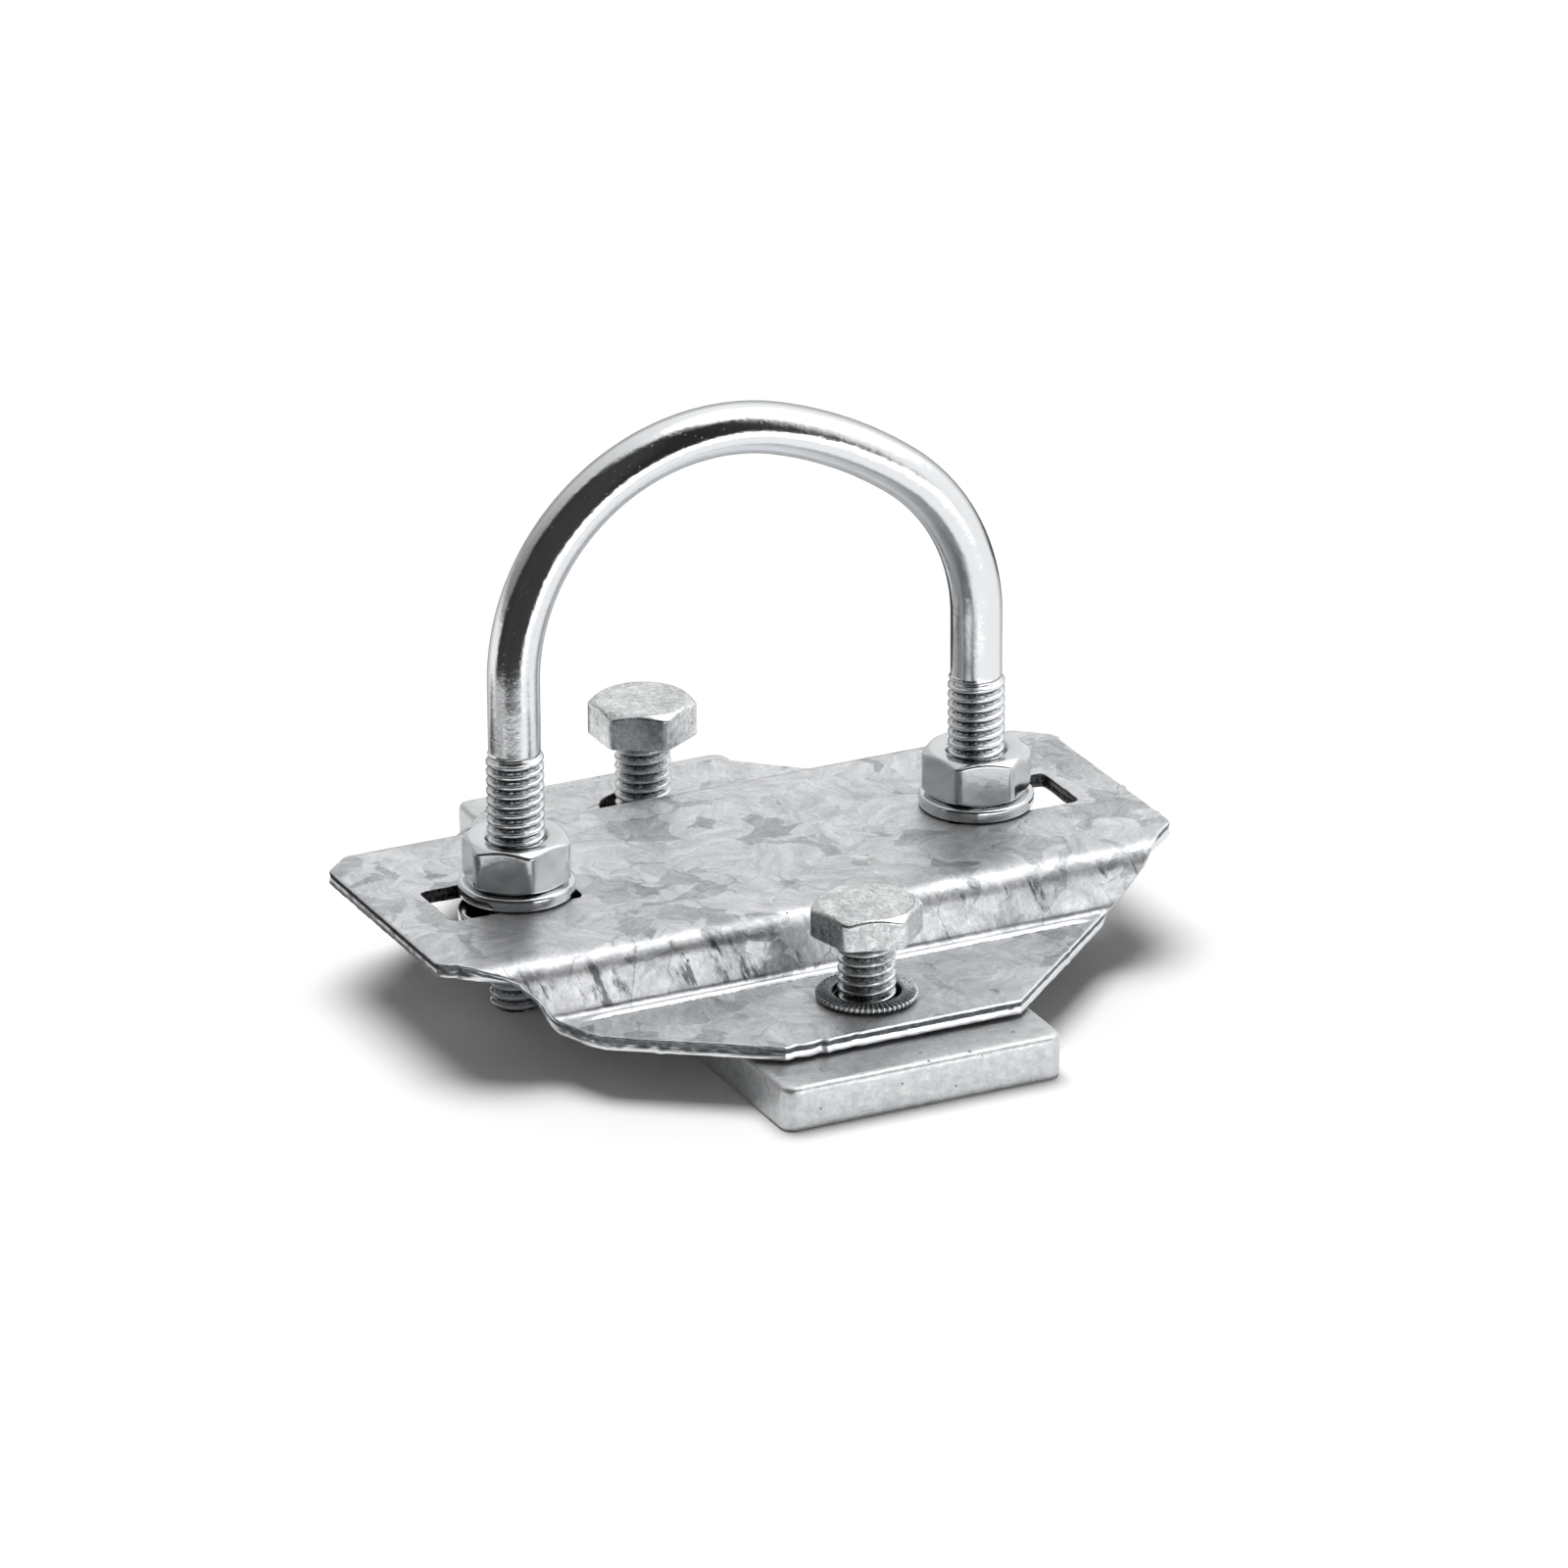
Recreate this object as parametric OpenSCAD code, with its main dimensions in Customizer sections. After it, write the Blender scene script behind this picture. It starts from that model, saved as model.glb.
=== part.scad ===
// U-bolt bracket for a round sign post.
// A pressed steel plate rides on the two legs of a U-bolt. Two loose hex bolts
// pull a thick clamp plate up under each of its flanges, to grip a sign channel.
// Frame: +Z up, the object stands on its clamp plates at Z = 0, X runs from leg
// to leg, and the front flange is on the -Y side.

/* [Post and U-bolt] */
// Outside diameter of the round post that the U-bolt clasps
post_d = 76.1; // [60.3:0.1:92]
// Free space between the post and each leg
post_gap = 1; // [0.5:0.1:3]
// Diameter of the smooth rod
rod_d = 8.9; // [6:0.1:9.8]
// Outside diameter of the rolled thread, on the legs and the bolts
thread_d = 9.85; // [8:0.05:12]
// How much tighter than a half circle the left shoulder is bent
left_tighter = 4.8; // [2:0.1:8]
// How much tighter than a half circle the right shoulder is bent
right_tighter = 7.6; // [4:0.1:12]
// Height above the band at which the left leg starts to bend
left_bend_h = 38.1; // [30:0.1:60]
// Height above the band at which the left and the right thread start
thread_top_h = [25.9, 24.4]; // [18:0.1:30]
// Sideways shift of the U-bolt in its slots, as it was fitted
u_shift = -0.7; // [-2:0.1:2]

/* [Bracket plate] */
// Thickness of the sheet
plate_t = 2.5; // [1.5:0.1:4]
// Height of the raised band over the flanges
rise = 9.6; // [8:0.1:16]
// Width of the flat of the raised band
band_w = 51.4; // [44:0.1:80]
// Radius of the upper bend, on its outside
upper_bend_r = 5; // [4.5:0.1:7]
// Radius of the foot bend, on its inside
foot_bend_r = 1.5; // [1:0.1:2]
// Length of the straight edge at each end of the band
end_edge = 44; // [30:0.5:50]
// Slope of the cut corners in the flat sheet, in degrees from the X axis
corner_angle = 42.2; // [38:0.1:50]
// Sheet left beyond the outer end of each slot
end_margin = 9.8; // [6:0.1:20]
// Width of the ridge that the press left along the foot
ridge_w = 1.1; // [0.6:0.1:2]
// Height of that ridge
ridge_h = 0.45; // [0.2:0.05:0.8]
// Length of that ridge
ridge_len = 92; // [60:1:100]

/* [Slots and holes] */
// Play of a leg's thread across its slot
slot_play = 3.95; // [1:0.05:6]
// Room in the slot outside each leg's axis
slot_out = 15.7; // [8:0.1:24]
// Room in the slot inside each leg's axis
slot_in = 8.5; // [7:0.1:10]
// Radius in the slots' corners
slot_corner_r = 1.2; // [0.5:0.1:3]
// Play of a bolt in the hole of its flange
hole_play = 3.15; // [2.8:0.05:5]
// Distance from the foot of the bend to the bolt hole
hole_from_foot = 13.2; // [11:0.1:20]
// Distance from the bolt hole to the flange's outer edge
hole_to_edge = 12.9; // [10:0.1:20]

/* [Nuts and flat washers] */
// Width across the flats of the nuts and bolt heads
flats = 17; // [16.5:0.1:19]
// Height of a nut
nut_h = 8; // [6:0.1:11]
// Outside diameter of a flat washer
washer_d = 20; // [19:0.1:24]
// Thickness of a flat washer
washer_t = 2.5; // [1.5:0.1:3]
// Play of a leg in the hole of its flat washer
washer_play = 0.75; // [0.3:0.05:1.5]
// Turn of the left and the right nuts about their legs, in degrees
nut_turn = [20, 43]; // [0:1:59]

/* [Clamp bolts] */
// Length of a bolt under its head
bolt_len = 20; // [18:0.5:30]
// Length of the front and the rear bolt that is screwed into its clamp plate
bolt_grip = [5.4, 4]; // [3:0.1:7]
// Height of the front and the rear bolt head
head_h = [5.8, 6.7]; // [5:0.1:8]
// Place of the front bolt along X, loose in its hole
front_bolt_x = -1.2; // [-1.4:0.1:1.4]
// Place of the rear bolt along X, loose in its hole
rear_bolt_x = 1.2; // [-1.4:0.1:1.4]
// Turn of the front and the rear bolt heads, in degrees
head_turn = [43, 31]; // [0:1:59]

/* [Lock washer] */
// Outside diameter over the serrated rim
lock_d = 17.4; // [15.5:0.1:19]
// Play of the bolt in the hole of its lock washer
lock_play = 1.75; // [0.5:0.05:2.5]
// Thickness of the lock washer
lock_t = 1.4; // [0.8:0.1:2.5]
// Number of serrations round the rim
lock_teeth = 56; // [24:1:64]
// Depth of a serration
tooth_depth = 0.35; // [0.2:0.05:0.6]

/* [Clamp plates] */
// Length of a clamp plate along the flange
clamp_len = 52; // [40:0.5:70]
// Width of a clamp plate, centred on its bolt
clamp_w = 45; // [36:0.5:56]
// Thickness of a clamp plate
clamp_t = 8; // [6:0.1:12]
// Radius of its upright corners
clamp_corner_r = 2.2; // [1:0.1:5]
// Radius of its long edges
clamp_edge_r = 0.8; // [0.3:0.1:1.5]
// Gap between clamp plate and flange, loose as supplied
clamp_gap = 0.6; // [0.3:0.1:0.9]

/* [Hidden] */

$fn = 96;
eps = 0.01;

// Running clearance between a thread and the bore that it turns in
thread_clear = 0.05;
slot_w = thread_d + slot_play;
flange_hole_d = thread_d + hole_play;
washer_hole_d = thread_d + washer_play;
lock_hole_d = thread_d + lock_play;

// Leg spacing follows the post
leg_spacing = post_d + 2 * post_gap + rod_d;
leg_x = [u_shift - leg_spacing / 2, u_shift + leg_spacing / 2];

// Levels, from the floor up
flange_under = clamp_t + clamp_gap;
flange_top = flange_under + plate_t;
band_top = flange_top + rise;
band_under = band_top - plate_t;
upper_nut_z = band_top + washer_t;
lower_washer_z = band_under - washer_t;
lower_nut_z = lower_washer_z - nut_h;
thread_z = [band_top + thread_top_h[0], band_top + thread_top_h[1]];

// Directions [along X, up] that have exact decimals: 24 in 7, and 4 in 3.
// The sheet climbs 24 in 7 between its bends. The arcs of the U-bolt's crown meet on
// lines of these two slopes, so their ends match face to face.
steep = [0.28, 0.96];
slant = [0.6, 0.8];

// The bends between band and flange, with their radii on the middle of the sheet
web_angle = atan2(steep[1], steep[0]);
upper_mid_r = upper_bend_r - plate_t / 2;
foot_mid_r = foot_bend_r + plate_t / 2;
web_len = (rise - (upper_mid_r + foot_mid_r) * (1 - steep[0])) / steep[1];
bend_start_y = band_w / 2;
foot_y = bend_start_y + (upper_mid_r + foot_mid_r) * steep[1] + web_len * steep[0];
upper_c = [bend_start_y, band_top - upper_bend_r];
foot_c = [foot_y, flange_top + foot_bend_r];

// Plan of the plate
hole_y = foot_y + hole_from_foot;
plate_half_w = hole_y + hole_to_edge;
slot_inner = leg_spacing / 2 - slot_in;
slot_outer = leg_spacing / 2 + slot_out;
plate_half_len = slot_outer + end_margin;

// Steps in which a cut corner is followed round each bend of the sheet
bend_steps = 6;

// Half length of the sheet where it lies s from the centre line, measured along the sheet
function cut_x(s) = plate_half_len - (s - end_edge / 2) / tan(corner_angle);
function arc_len(r, a) = r * a * PI / 180;
web_end_s = bend_start_y + arc_len(upper_mid_r, web_angle) + web_len;
flange_s = web_end_s + arc_len(foot_mid_r, web_angle);
bend_angles = [for (i = [0:bend_steps]) web_angle * i / bend_steps];
corner = concat(
    [[plate_half_len, end_edge / 2]],
    [for (a = bend_angles)
        [cut_x(bend_start_y + arc_len(upper_mid_r, a)), bend_start_y + upper_mid_r * sin(a)]],
    [for (a = bend_angles)
        [cut_x(web_end_s + arc_len(foot_mid_r, a)), foot_y - foot_mid_r * sin(web_angle - a)]],
    [[cut_x(flange_s + plate_half_w - foot_y), plate_half_w]]
);

// The crown of the U-bolt: a left, a middle and a right arc. The middle arc is so much
// flatter that the three meet in line, which also sets how much lower the right leg bends.
crown_flatter = (left_tighter * (1 + steep[0]) + right_tighter * (1 - slant[0]))
    / (slant[0] - steep[0]);
left_r = leg_spacing / 2 - left_tighter;
crown_r = leg_spacing / 2 + crown_flatter;
right_r = leg_spacing / 2 - right_tighter;
left_c = [u_shift - left_tighter, band_top + left_bend_h];
crown_c = left_c - (crown_r - left_r) * steep;
right_c = crown_c + (crown_r - right_r) * slant;

// Shape of a hexagon's turned chamfer, and of the small edges
hex_circle_d = flats / cos(30);
hex_face_d = 0.95 * flats;
chamfer_h = (hex_circle_d - hex_face_d) / 2 * tan(30);
thread_tip = 1;
runout_h = 1.2;
bore_edge = 0.4;
head_seat_d = 0.94 * flats;
head_seat_h = 0.4;

// Rectangle with round corners, centred on the origin
module round_rect(w, d, r) {
    square([w, d - 2 * r], center=true);
    square([w - 2 * r, d], center=true);
    for (x = [-1, 1], y = [-1, 1])
        translate([x * (w / 2 - r), y * (d / 2 - r)]) circle(r=r);
}

// Everything below the upper face of the sheet, or below a face that lies deeper in it.
// Drawn across the plate for its +Y side, with Y to the right and Z up.
module below_face(depth, past) {
    upper_r = upper_bend_r - depth;
    foot_r = foot_bend_r + depth;
    out = [steep[1], steep[0]];
    difference() {
        union() {
            polygon([
                [-1, -past], [-1, band_top - depth], [bend_start_y, band_top - depth],
                upper_c, upper_c + upper_r * out, foot_c - foot_r * out, foot_c,
                [foot_y, flange_top - depth], [plate_half_w + past, flange_top - depth],
                [plate_half_w + past, -past]
            ]);
            translate(upper_c) circle(r=upper_r);
        }
        translate(foot_c) circle(r=foot_r);
    }
}

// Section of the bent sheet across the plate
module section() {
    difference() {
        for (side = [0, 1]) mirror([side, 0]) below_face(0, 0);
        for (side = [0, 1]) mirror([side, 0]) below_face(plate_t, 1);
    }
}

// Outline of the plate seen from above, round its right side and then round its left
module plan() {
    last = len(corner) - 1;
    right = concat([for (i = [last:-1:0]) corner[i]], [for (p = corner) [p[0], -p[1]]]);
    left = [for (i = [2 * last + 1:-1:0]) [-right[i][0], right[i][1]]];
    polygon(concat(right, left));
}

// Low round ridge along X, sunk in the upper face of a flange
module ridge(side) {
    ridge_r = (ridge_w * ridge_w / 4 + ridge_h * ridge_h) / (2 * ridge_h);
    translate([-ridge_len / 2, side * (foot_y + ridge_w / 2), flange_top + ridge_h - ridge_r])
        rotate([0, 90, 0]) cylinder(r=ridge_r, h=ridge_len);
}

module bracket_plate() {
    color("#b4b8bb") {
        difference() {
            intersection() {
                translate([-plate_half_len - 1, 0, 0]) rotate([90, 0, 90])
                    linear_extrude(2 * plate_half_len + 2) section();
                linear_extrude(band_top + 1) plan();
            }
            for (side = [-1, 1]) {
                translate([side * (slot_inner + slot_outer) / 2, 0, flange_top])
                    linear_extrude(rise + 1)
                        round_rect(slot_outer - slot_inner, slot_w, slot_corner_r);
                translate([0, side * hole_y, 0]) cylinder(d=flange_hole_d, h=band_top);
            }
        }
        for (side = [-1, 1]) ridge(side);
    }
}

// One leg, from its cut end on the floor up to where it bends
module leg(x, top, bend_z) {
    translate([x, 0, 0]) {
        cylinder(d1=thread_d - 2 * thread_tip, d2=thread_d, h=thread_tip);
        translate([0, 0, thread_tip]) cylinder(d=thread_d, h=top - runout_h - thread_tip);
        translate([0, 0, top - runout_h]) cylinder(d1=thread_d, d2=rod_d, h=runout_h);
        translate([0, 0, top]) cylinder(d=rod_d, h=bend_z - top);
    }
}

// One arc of the rod: the part of a full ring between two directions that lie in the
// plane of the legs, with a third direction between them
module rod_arc(centre, r, from, between, to) {
    far = 2 * (r + rod_d);
    translate([centre[0], 0, centre[1]]) rotate([90, 0, 0]) intersection() {
        rotate(-90) rotate_extrude() translate([r, 0]) circle(d=rod_d);
        translate([0, 0, -rod_d])
            linear_extrude(2 * rod_d) polygon([[0, 0], far * from, far * between, far * to]);
    }
}

module u_bolt() {
    color("#d3d6d9") {
        leg(leg_x[0], thread_z[0], left_c[1]);
        leg(leg_x[1], thread_z[1], right_c[1]);
        rod_arc(left_c, left_r, steep, [-1, 1], [-1, 0]);
        rod_arc(crown_c, crown_r, slant, [0.5, 1], steep);
        rod_arc(right_c, right_r, [1, 0], [1, 0.5], slant);
    }
}

// Hexagon with its corners turned off above, and below too if both is true
module hex_blank(h, both) {
    low = both ? chamfer_h : 0;
    intersection() {
        cylinder(d=hex_circle_d, h=h, $fn=6);
        rotate_extrude() polygon([
            [0, 0], [both ? hex_face_d / 2 : hex_circle_d / 2, 0],
            [hex_circle_d / 2, low], [hex_circle_d / 2, h - chamfer_h],
            [hex_face_d / 2, h], [0, h]
        ]);
    }
}

// Bore for a thread, with both mouths eased
module thread_bore(h) {
    d = thread_d + 2 * thread_clear;
    translate([0, 0, -eps]) cylinder(d=d, h=h + 2 * eps);
    translate([0, 0, -eps]) cylinder(d1=d + 2 * bore_edge, d2=d, h=bore_edge);
    translate([0, 0, h + eps - bore_edge]) cylinder(d1=d, d2=d + 2 * bore_edge, h=bore_edge);
}

module nut(x, z, turn) {
    color("#c9cccf") translate([x, 0, z]) rotate(turn) difference() {
        hex_blank(nut_h, true);
        thread_bore(nut_h);
    }
}

module flat_washer(x, z) {
    color("#c9cccf") translate([x, 0, z]) difference() {
        cylinder(d=washer_d, h=washer_t);
        translate([0, 0, -eps]) cylinder(d=washer_hole_d, h=washer_t + 2 * eps);
    }
}

// The front bolt is number 0 and the rear one number 1
module clamp_bolt(x, y, number) {
    tip_z = clamp_t - bolt_grip[number];
    head_z = tip_z + bolt_len;
    color("#bfc2c5") translate([x, y, 0]) {
        translate([0, 0, tip_z]) cylinder(d1=thread_d - 2 * thread_tip, d2=thread_d, h=thread_tip);
        translate([0, 0, tip_z + thread_tip]) cylinder(d=thread_d, h=bolt_len - thread_tip);
        translate([0, 0, head_z]) cylinder(d=head_seat_d, h=head_seat_h);
        translate([0, 0, head_z + head_seat_h]) rotate(head_turn[number])
            hex_blank(head_h[number] - head_seat_h, false);
    }
}

// Ring with a rim of small teeth
module lock_washer(x, y) {
    step = 360 / lock_teeth;
    color("#7d8083") translate([x, y, flange_top]) difference() {
        linear_extrude(lock_t) polygon([
            for (i = [0:2 * lock_teeth - 1]) let (a = i * step / 2)
                (lock_d / 2 - i % 2 * tooth_depth) * [cos(a), sin(a)]
        ]);
        translate([0, 0, -eps]) cylinder(d=lock_hole_d, h=lock_t + 2 * eps);
    }
}

// Thick plate with eased edges and a threaded hole for its bolt
module clamp_plate(x, y) {
    color("#c3c6c9") translate([x, y, 0]) difference() {
        intersection() {
            linear_extrude(clamp_t) round_rect(clamp_len, clamp_w, clamp_corner_r);
            translate([-clamp_len, 0, clamp_t / 2]) rotate([90, 0, 90])
                linear_extrude(2 * clamp_len) round_rect(clamp_w, clamp_t, clamp_edge_r);
            translate([0, clamp_w, clamp_t / 2]) rotate([90, 0, 0])
                linear_extrude(2 * clamp_w) round_rect(clamp_len, clamp_t, clamp_edge_r);
        }
        thread_bore(clamp_t);
    }
}

bracket_plate();
u_bolt();
flat_washer(leg_x[0], band_top);  // upper_washer_left
flat_washer(leg_x[1], band_top);  // upper_washer_right
nut(leg_x[0], upper_nut_z, nut_turn[0]);  // upper_nut_left
nut(leg_x[1], upper_nut_z, nut_turn[1]);  // upper_nut_right
flat_washer(leg_x[0], lower_washer_z);  // lower_washer_left
flat_washer(leg_x[1], lower_washer_z);  // lower_washer_right
nut(leg_x[0], lower_nut_z, nut_turn[1]);  // lower_nut_left
nut(leg_x[1], lower_nut_z, nut_turn[0]);  // lower_nut_right
clamp_bolt(front_bolt_x, -hole_y, 0);  // clamp_bolt_front
clamp_bolt(rear_bolt_x, hole_y, 1);  // clamp_bolt_rear
lock_washer(front_bolt_x, -hole_y);  // lock_washer_front
clamp_plate(front_bolt_x, -hole_y);  // clamp_plate_front
clamp_plate(rear_bolt_x, hole_y);  // clamp_plate_rear
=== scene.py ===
# %% [markdown]
# # A U-bolt bracket for a round sign post
# The object is a pressed steel plate on a bent rod with two threaded legs. Four nuts and
# washers hold the rod, and two loose bolts carry a thick clamp plate under each flange.
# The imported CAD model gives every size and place. It could be shown as it is, but real steel
# parts are judged by their edges, threads and plating, which plain solids don't have. So each
# piece is built again here as a finer mesh in the same place, and the CAD solid is hidden.

# %% Load the CAD frame
import random
from math import atan2, cos, exp, pi, radians, sin, tan

import bmesh
import bpy
from mathutils import Matrix, Vector
from mathutils.geometry import delaunay_2d_cdt


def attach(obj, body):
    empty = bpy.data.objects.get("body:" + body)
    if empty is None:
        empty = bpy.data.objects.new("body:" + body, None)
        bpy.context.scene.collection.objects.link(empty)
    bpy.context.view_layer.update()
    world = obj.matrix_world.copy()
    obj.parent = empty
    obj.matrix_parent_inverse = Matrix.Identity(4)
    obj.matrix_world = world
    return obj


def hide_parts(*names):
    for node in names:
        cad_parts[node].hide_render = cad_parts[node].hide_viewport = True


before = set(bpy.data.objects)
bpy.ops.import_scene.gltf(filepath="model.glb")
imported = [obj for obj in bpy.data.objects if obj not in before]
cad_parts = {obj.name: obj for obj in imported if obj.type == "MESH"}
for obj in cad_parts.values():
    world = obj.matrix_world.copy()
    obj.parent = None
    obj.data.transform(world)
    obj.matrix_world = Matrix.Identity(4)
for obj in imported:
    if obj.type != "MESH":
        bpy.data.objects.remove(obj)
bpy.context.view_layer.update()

MM = 0.001
print("CAD nodes:", len(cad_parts))

# %% [markdown]
# ## Sizes
# All sizes are in millimetres and match the CAD model. The bracket stands on its clamp plates
# at Z = 0, the legs of the U-bolt stand left and right along X, and the front flange is at -Y.

# %% Sizes in millimetres
SHEET = 2.5
FLANGE_TOP, BAND_TOP = 11.1, 20.7
BAND_Y, FOOT_Y = 25.7, 33.375
HOLE_Y, HOLE_R = 46.575, 6.5
HALF_W, HALF_LEN = 59.475, 69.0
UPPER_BEND, FOOT_BEND, WEB_ANGLE = 5.0, 1.5, atan2(24, 7)
SLOT_X, SLOT_LEN, SLOT_W, SLOT_R = 47.1, 24.2, 13.8, 1.2
RIDGE_W, RIDGE_H, RIDGE_END, RIDGE_FADE = 1.7, 0.5, 48.5, 4
LEG_X = (-44.2, 42.8)
ROD_R, THREAD_R, PITCH = 4.45, 4.925, 1.75
THREAD_TOP = (46.6, 45.1)
WASHER_T, NUT_T, FLATS = 2.5, 8.0, 17.0
FRONT_BOLT, REAR_BOLT = (-1.2, -HOLE_Y), (1.2, HOLE_Y)
SHANK = 20.0
CLAMP_T, CLAMP_L, CLAMP_W = 8.0, 52.0, 45.0
print("thread turns on the left leg:", round(THREAD_TOP[0] / PITCH, 1))

# %% [markdown]
# ## Small tools
# Every mesh is written as rings of points that are joined into bands of faces. One helper turns
# points and faces into an object, and another joins rings. A closed ring of rings gives a solid
# like a nut, with its outside, its top, its bore and its underside in one go.

# %% Mesh helpers
def make_piece(name, points, faces, materials, kinds=None):
    """An object from points in millimetres and faces as lists of point numbers.
    kinds holds the number of each face's material."""
    mesh = bpy.data.meshes.new(name)
    mesh.from_pydata([Vector(p) * MM for p in points], [], faces)
    for material in materials:
        mesh.materials.append(material)
    if kinds:
        mesh.polygons.foreach_set("material_index", kinds)
    build = bmesh.new()
    build.from_mesh(mesh)
    bmesh.ops.remove_doubles(build, verts=build.verts, dist=0.002 * MM)
    bmesh.ops.recalc_face_normals(build, faces=build.faces)
    for face in build.faces:
        face.smooth = True
    build.to_mesh(mesh)
    build.free()
    piece = bpy.data.objects.new(name, mesh)
    bpy.context.scene.collection.objects.link(piece)
    return piece


def bands(rings, close=False):
    """Points and faces of a stack of rings that all have the same number of points."""
    count = len(rings[0])
    points = [p for ring in rings for p in ring]
    faces = []
    for i in range(len(rings) if close else len(rings) - 1):
        a, b = i * count, (i + 1) % len(rings) * count
        for j in range(count):
            k = (j + 1) % count
            faces.append((a + j, a + k, b + k, b + j))
    return points, faces


def finish_piece(piece, slot, *nodes):
    """Hands a piece over to the frame, in place of its CAD solids."""
    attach(piece, "root")
    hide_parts(*nodes)
    print(piece.name, len(piece.data.polygons), "faces")


# %% [markdown]
# ## Materials
# All the steel here is zinc coated, but by different processes, and each looks different.
# A shader starts from the metal's usual values: metallic 1, a pale base colour and a
# roughness between a mirror (0.05) and a dull casting (0.6). Colours are written as the hex
# values that a paint program shows, and one function turns them into linear light. Sockets that
# share a name with others are given by number: 1 to 4 of a Map Range are the ends of the range
# that comes in and of the one that goes out, and 6 and 7 of a Mix are its two colours.

# %% Colour and node helpers
def colour(hex_code):
    """A linear colour from an sRGB hex code."""
    values = [int(hex_code[i:i + 2], 16) / 255 for i in (1, 3, 5)]
    return [v / 12.92 if v <= 0.04045 else ((v + 0.055) / 1.055) ** 2.4 for v in values] + [1]


def feed(tree, node, inputs):
    """Fills a node's sockets. inputs holds (socket, value) pairs, where a value can also be
    another node's output, or the node itself, which means its first output."""
    for key, value in inputs:
        if isinstance(value, bpy.types.Node):
            value = value.outputs[0]
        if isinstance(value, bpy.types.NodeSocket):
            tree.links.new(value, node.inputs[key])
        else:
            node.inputs[key].default_value = value


def add(tree, kind, inputs=(), stops=(), **settings):
    """Adds a shader node with its settings and links. stops holds a ramp's places and colours."""
    made = tree.nodes.new("ShaderNode" + kind)
    for key, value in settings.items():
        setattr(made, key, value)
    for number, (position, shade) in enumerate(stops):
        made.color_ramp.elements[number].position = position
        made.color_ramp.elements[number].color = colour(shade)
    feed(tree, made, inputs)
    return made


def metal(name, base, roughness):
    """A material with a metallic Principled shader, its tree, and that shader."""
    material = bpy.data.materials.new(name)
    material.use_nodes = True
    tree = material.node_tree
    shader = tree.nodes["Principled BSDF"]
    shader.inputs["Metallic"].default_value = 1
    shader.inputs["Base Color"].default_value = colour(base)
    shader.inputs["Roughness"].default_value = roughness
    return material, tree, shader


def millimetres(tree):
    """The object's own coordinates, in millimetres."""
    where = add(tree, "TexCoord")
    scaled = add(tree, "VectorMath", [(0, where.outputs["Object"]), ("Scale", 1 / MM)], operation="SCALE")
    return scaled


print("mid grey #808080 in linear light:", round(colour("#808080")[0], 3))


# %% [markdown]
# ### Hot-dip galvanised sheet
# The plate was pressed from sheet that had been dipped in molten zinc. The zinc freezes in
# flat crystals, the spangle, 5 to 12 mm across. Each crystal lies at its own small tilt, so
# each throws the light another way, and fine branches run through it in one direction.
# A photograph could be wrapped on, but a cell pattern is sharper and has no seams. Voronoi
# cells give the crystals. Each cell's random colour tilts the surface, shifts its grey and
# turns a stretched noise that draws the branches.

# %% Galvanised sheet material
galvanised, tree, shader = metal("Hot-dip galvanised steel sheet", "#c4c8cb", 0.34)
shader.inputs["Metallic"].default_value = 0.75
SPANGLE = 11.0  # mm across a crystal
place = millimetres(tree)
wander = add(tree, "TexNoise", [("Vector", place), ("Scale", 0.14), ("Detail", 1.5), ("Roughness", 0.5)])
bent = add(tree, "VectorMath", [(0, wander.outputs["Color"]), (1, (6, 6, 6)), (2, place)],
           operation="MULTIPLY_ADD")
crystal = add(tree, "TexVoronoi", [("Vector", bent), ("Scale", 1 / SPANGLE)])
border = add(tree, "TexVoronoi", [("Vector", bent), ("Scale", 1 / SPANGLE)], feature="DISTANCE_TO_EDGE")
small = add(tree, "TexVoronoi", [("Vector", bent), ("Scale", 1.9 / SPANGLE)])
crystal_parts = add(tree, "SeparateColor", [(0, crystal.outputs["Color"])])
small_parts = add(tree, "SeparateColor", [(0, small.outputs["Color"])])
turn = add(tree, "Math", [(0, crystal_parts), (1, 2 * pi)], operation="MULTIPLY")
along = add(tree, "VectorRotate", [("Vector", bent), ("Angle", turn)], rotation_type="Z_AXIS")
stretch = add(tree, "VectorMath", [(0, along), (1, (0.10, 0.5, 0.35))], operation="MULTIPLY")
branches = add(tree, "TexNoise", [("Vector", stretch), ("Scale", 1), ("Detail", 6), ("Roughness", 0.7)])
grain = add(tree, "TexNoise", [("Vector", place), ("Scale", 1.5), ("Detail", 5), ("Roughness", 0.75)])
print(galvanised.name, "starts with crystals of", SPANGLE, "mm")

# %% [markdown]
# ### Dark shards in the spangle
# Crystals grow outwards, and the zinc that freezes last is left between them as darker, angular
# shards, with a fine dark seam here and there. Round cells look like cobbles. Cells measured
# with a Minkowski distance and a low exponent get pointed, hollow-sided outlines, so a few of
# those are darkened, with the corners that lie farthest from the middle of a crystal.

# %% Shards and the zinc's greys
gaps = add(tree, "MapRange", [(0, crystal.outputs["Distance"]), (1, 0.76), (2, 0.78), (3, 0), (4, 0.8)])
shard = add(tree, "TexVoronoi", [("Vector", bent), ("Scale", 1.5 / SPANGLE), ("Exponent", 0.6)],
            distance="MINKOWSKI")
shard_parts = add(tree, "SeparateColor", [(0, shard.outputs["Color"])])
dark_shards = add(tree, "MapRange", [(0, shard_parts), (1, 0.16), (2, 0.17), (3, 0.75), (4, 0)])
centres = add(tree, "MapRange", [(0, small.outputs["Distance"]), (1, 0.24), (2, 0.26), (3, 1), (4, 0)])
seam = add(tree, "MapRange", [(0, border.outputs["Distance"]), (1, 0.004), (2, 0.016), (3, 1), (4, 0)])
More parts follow.
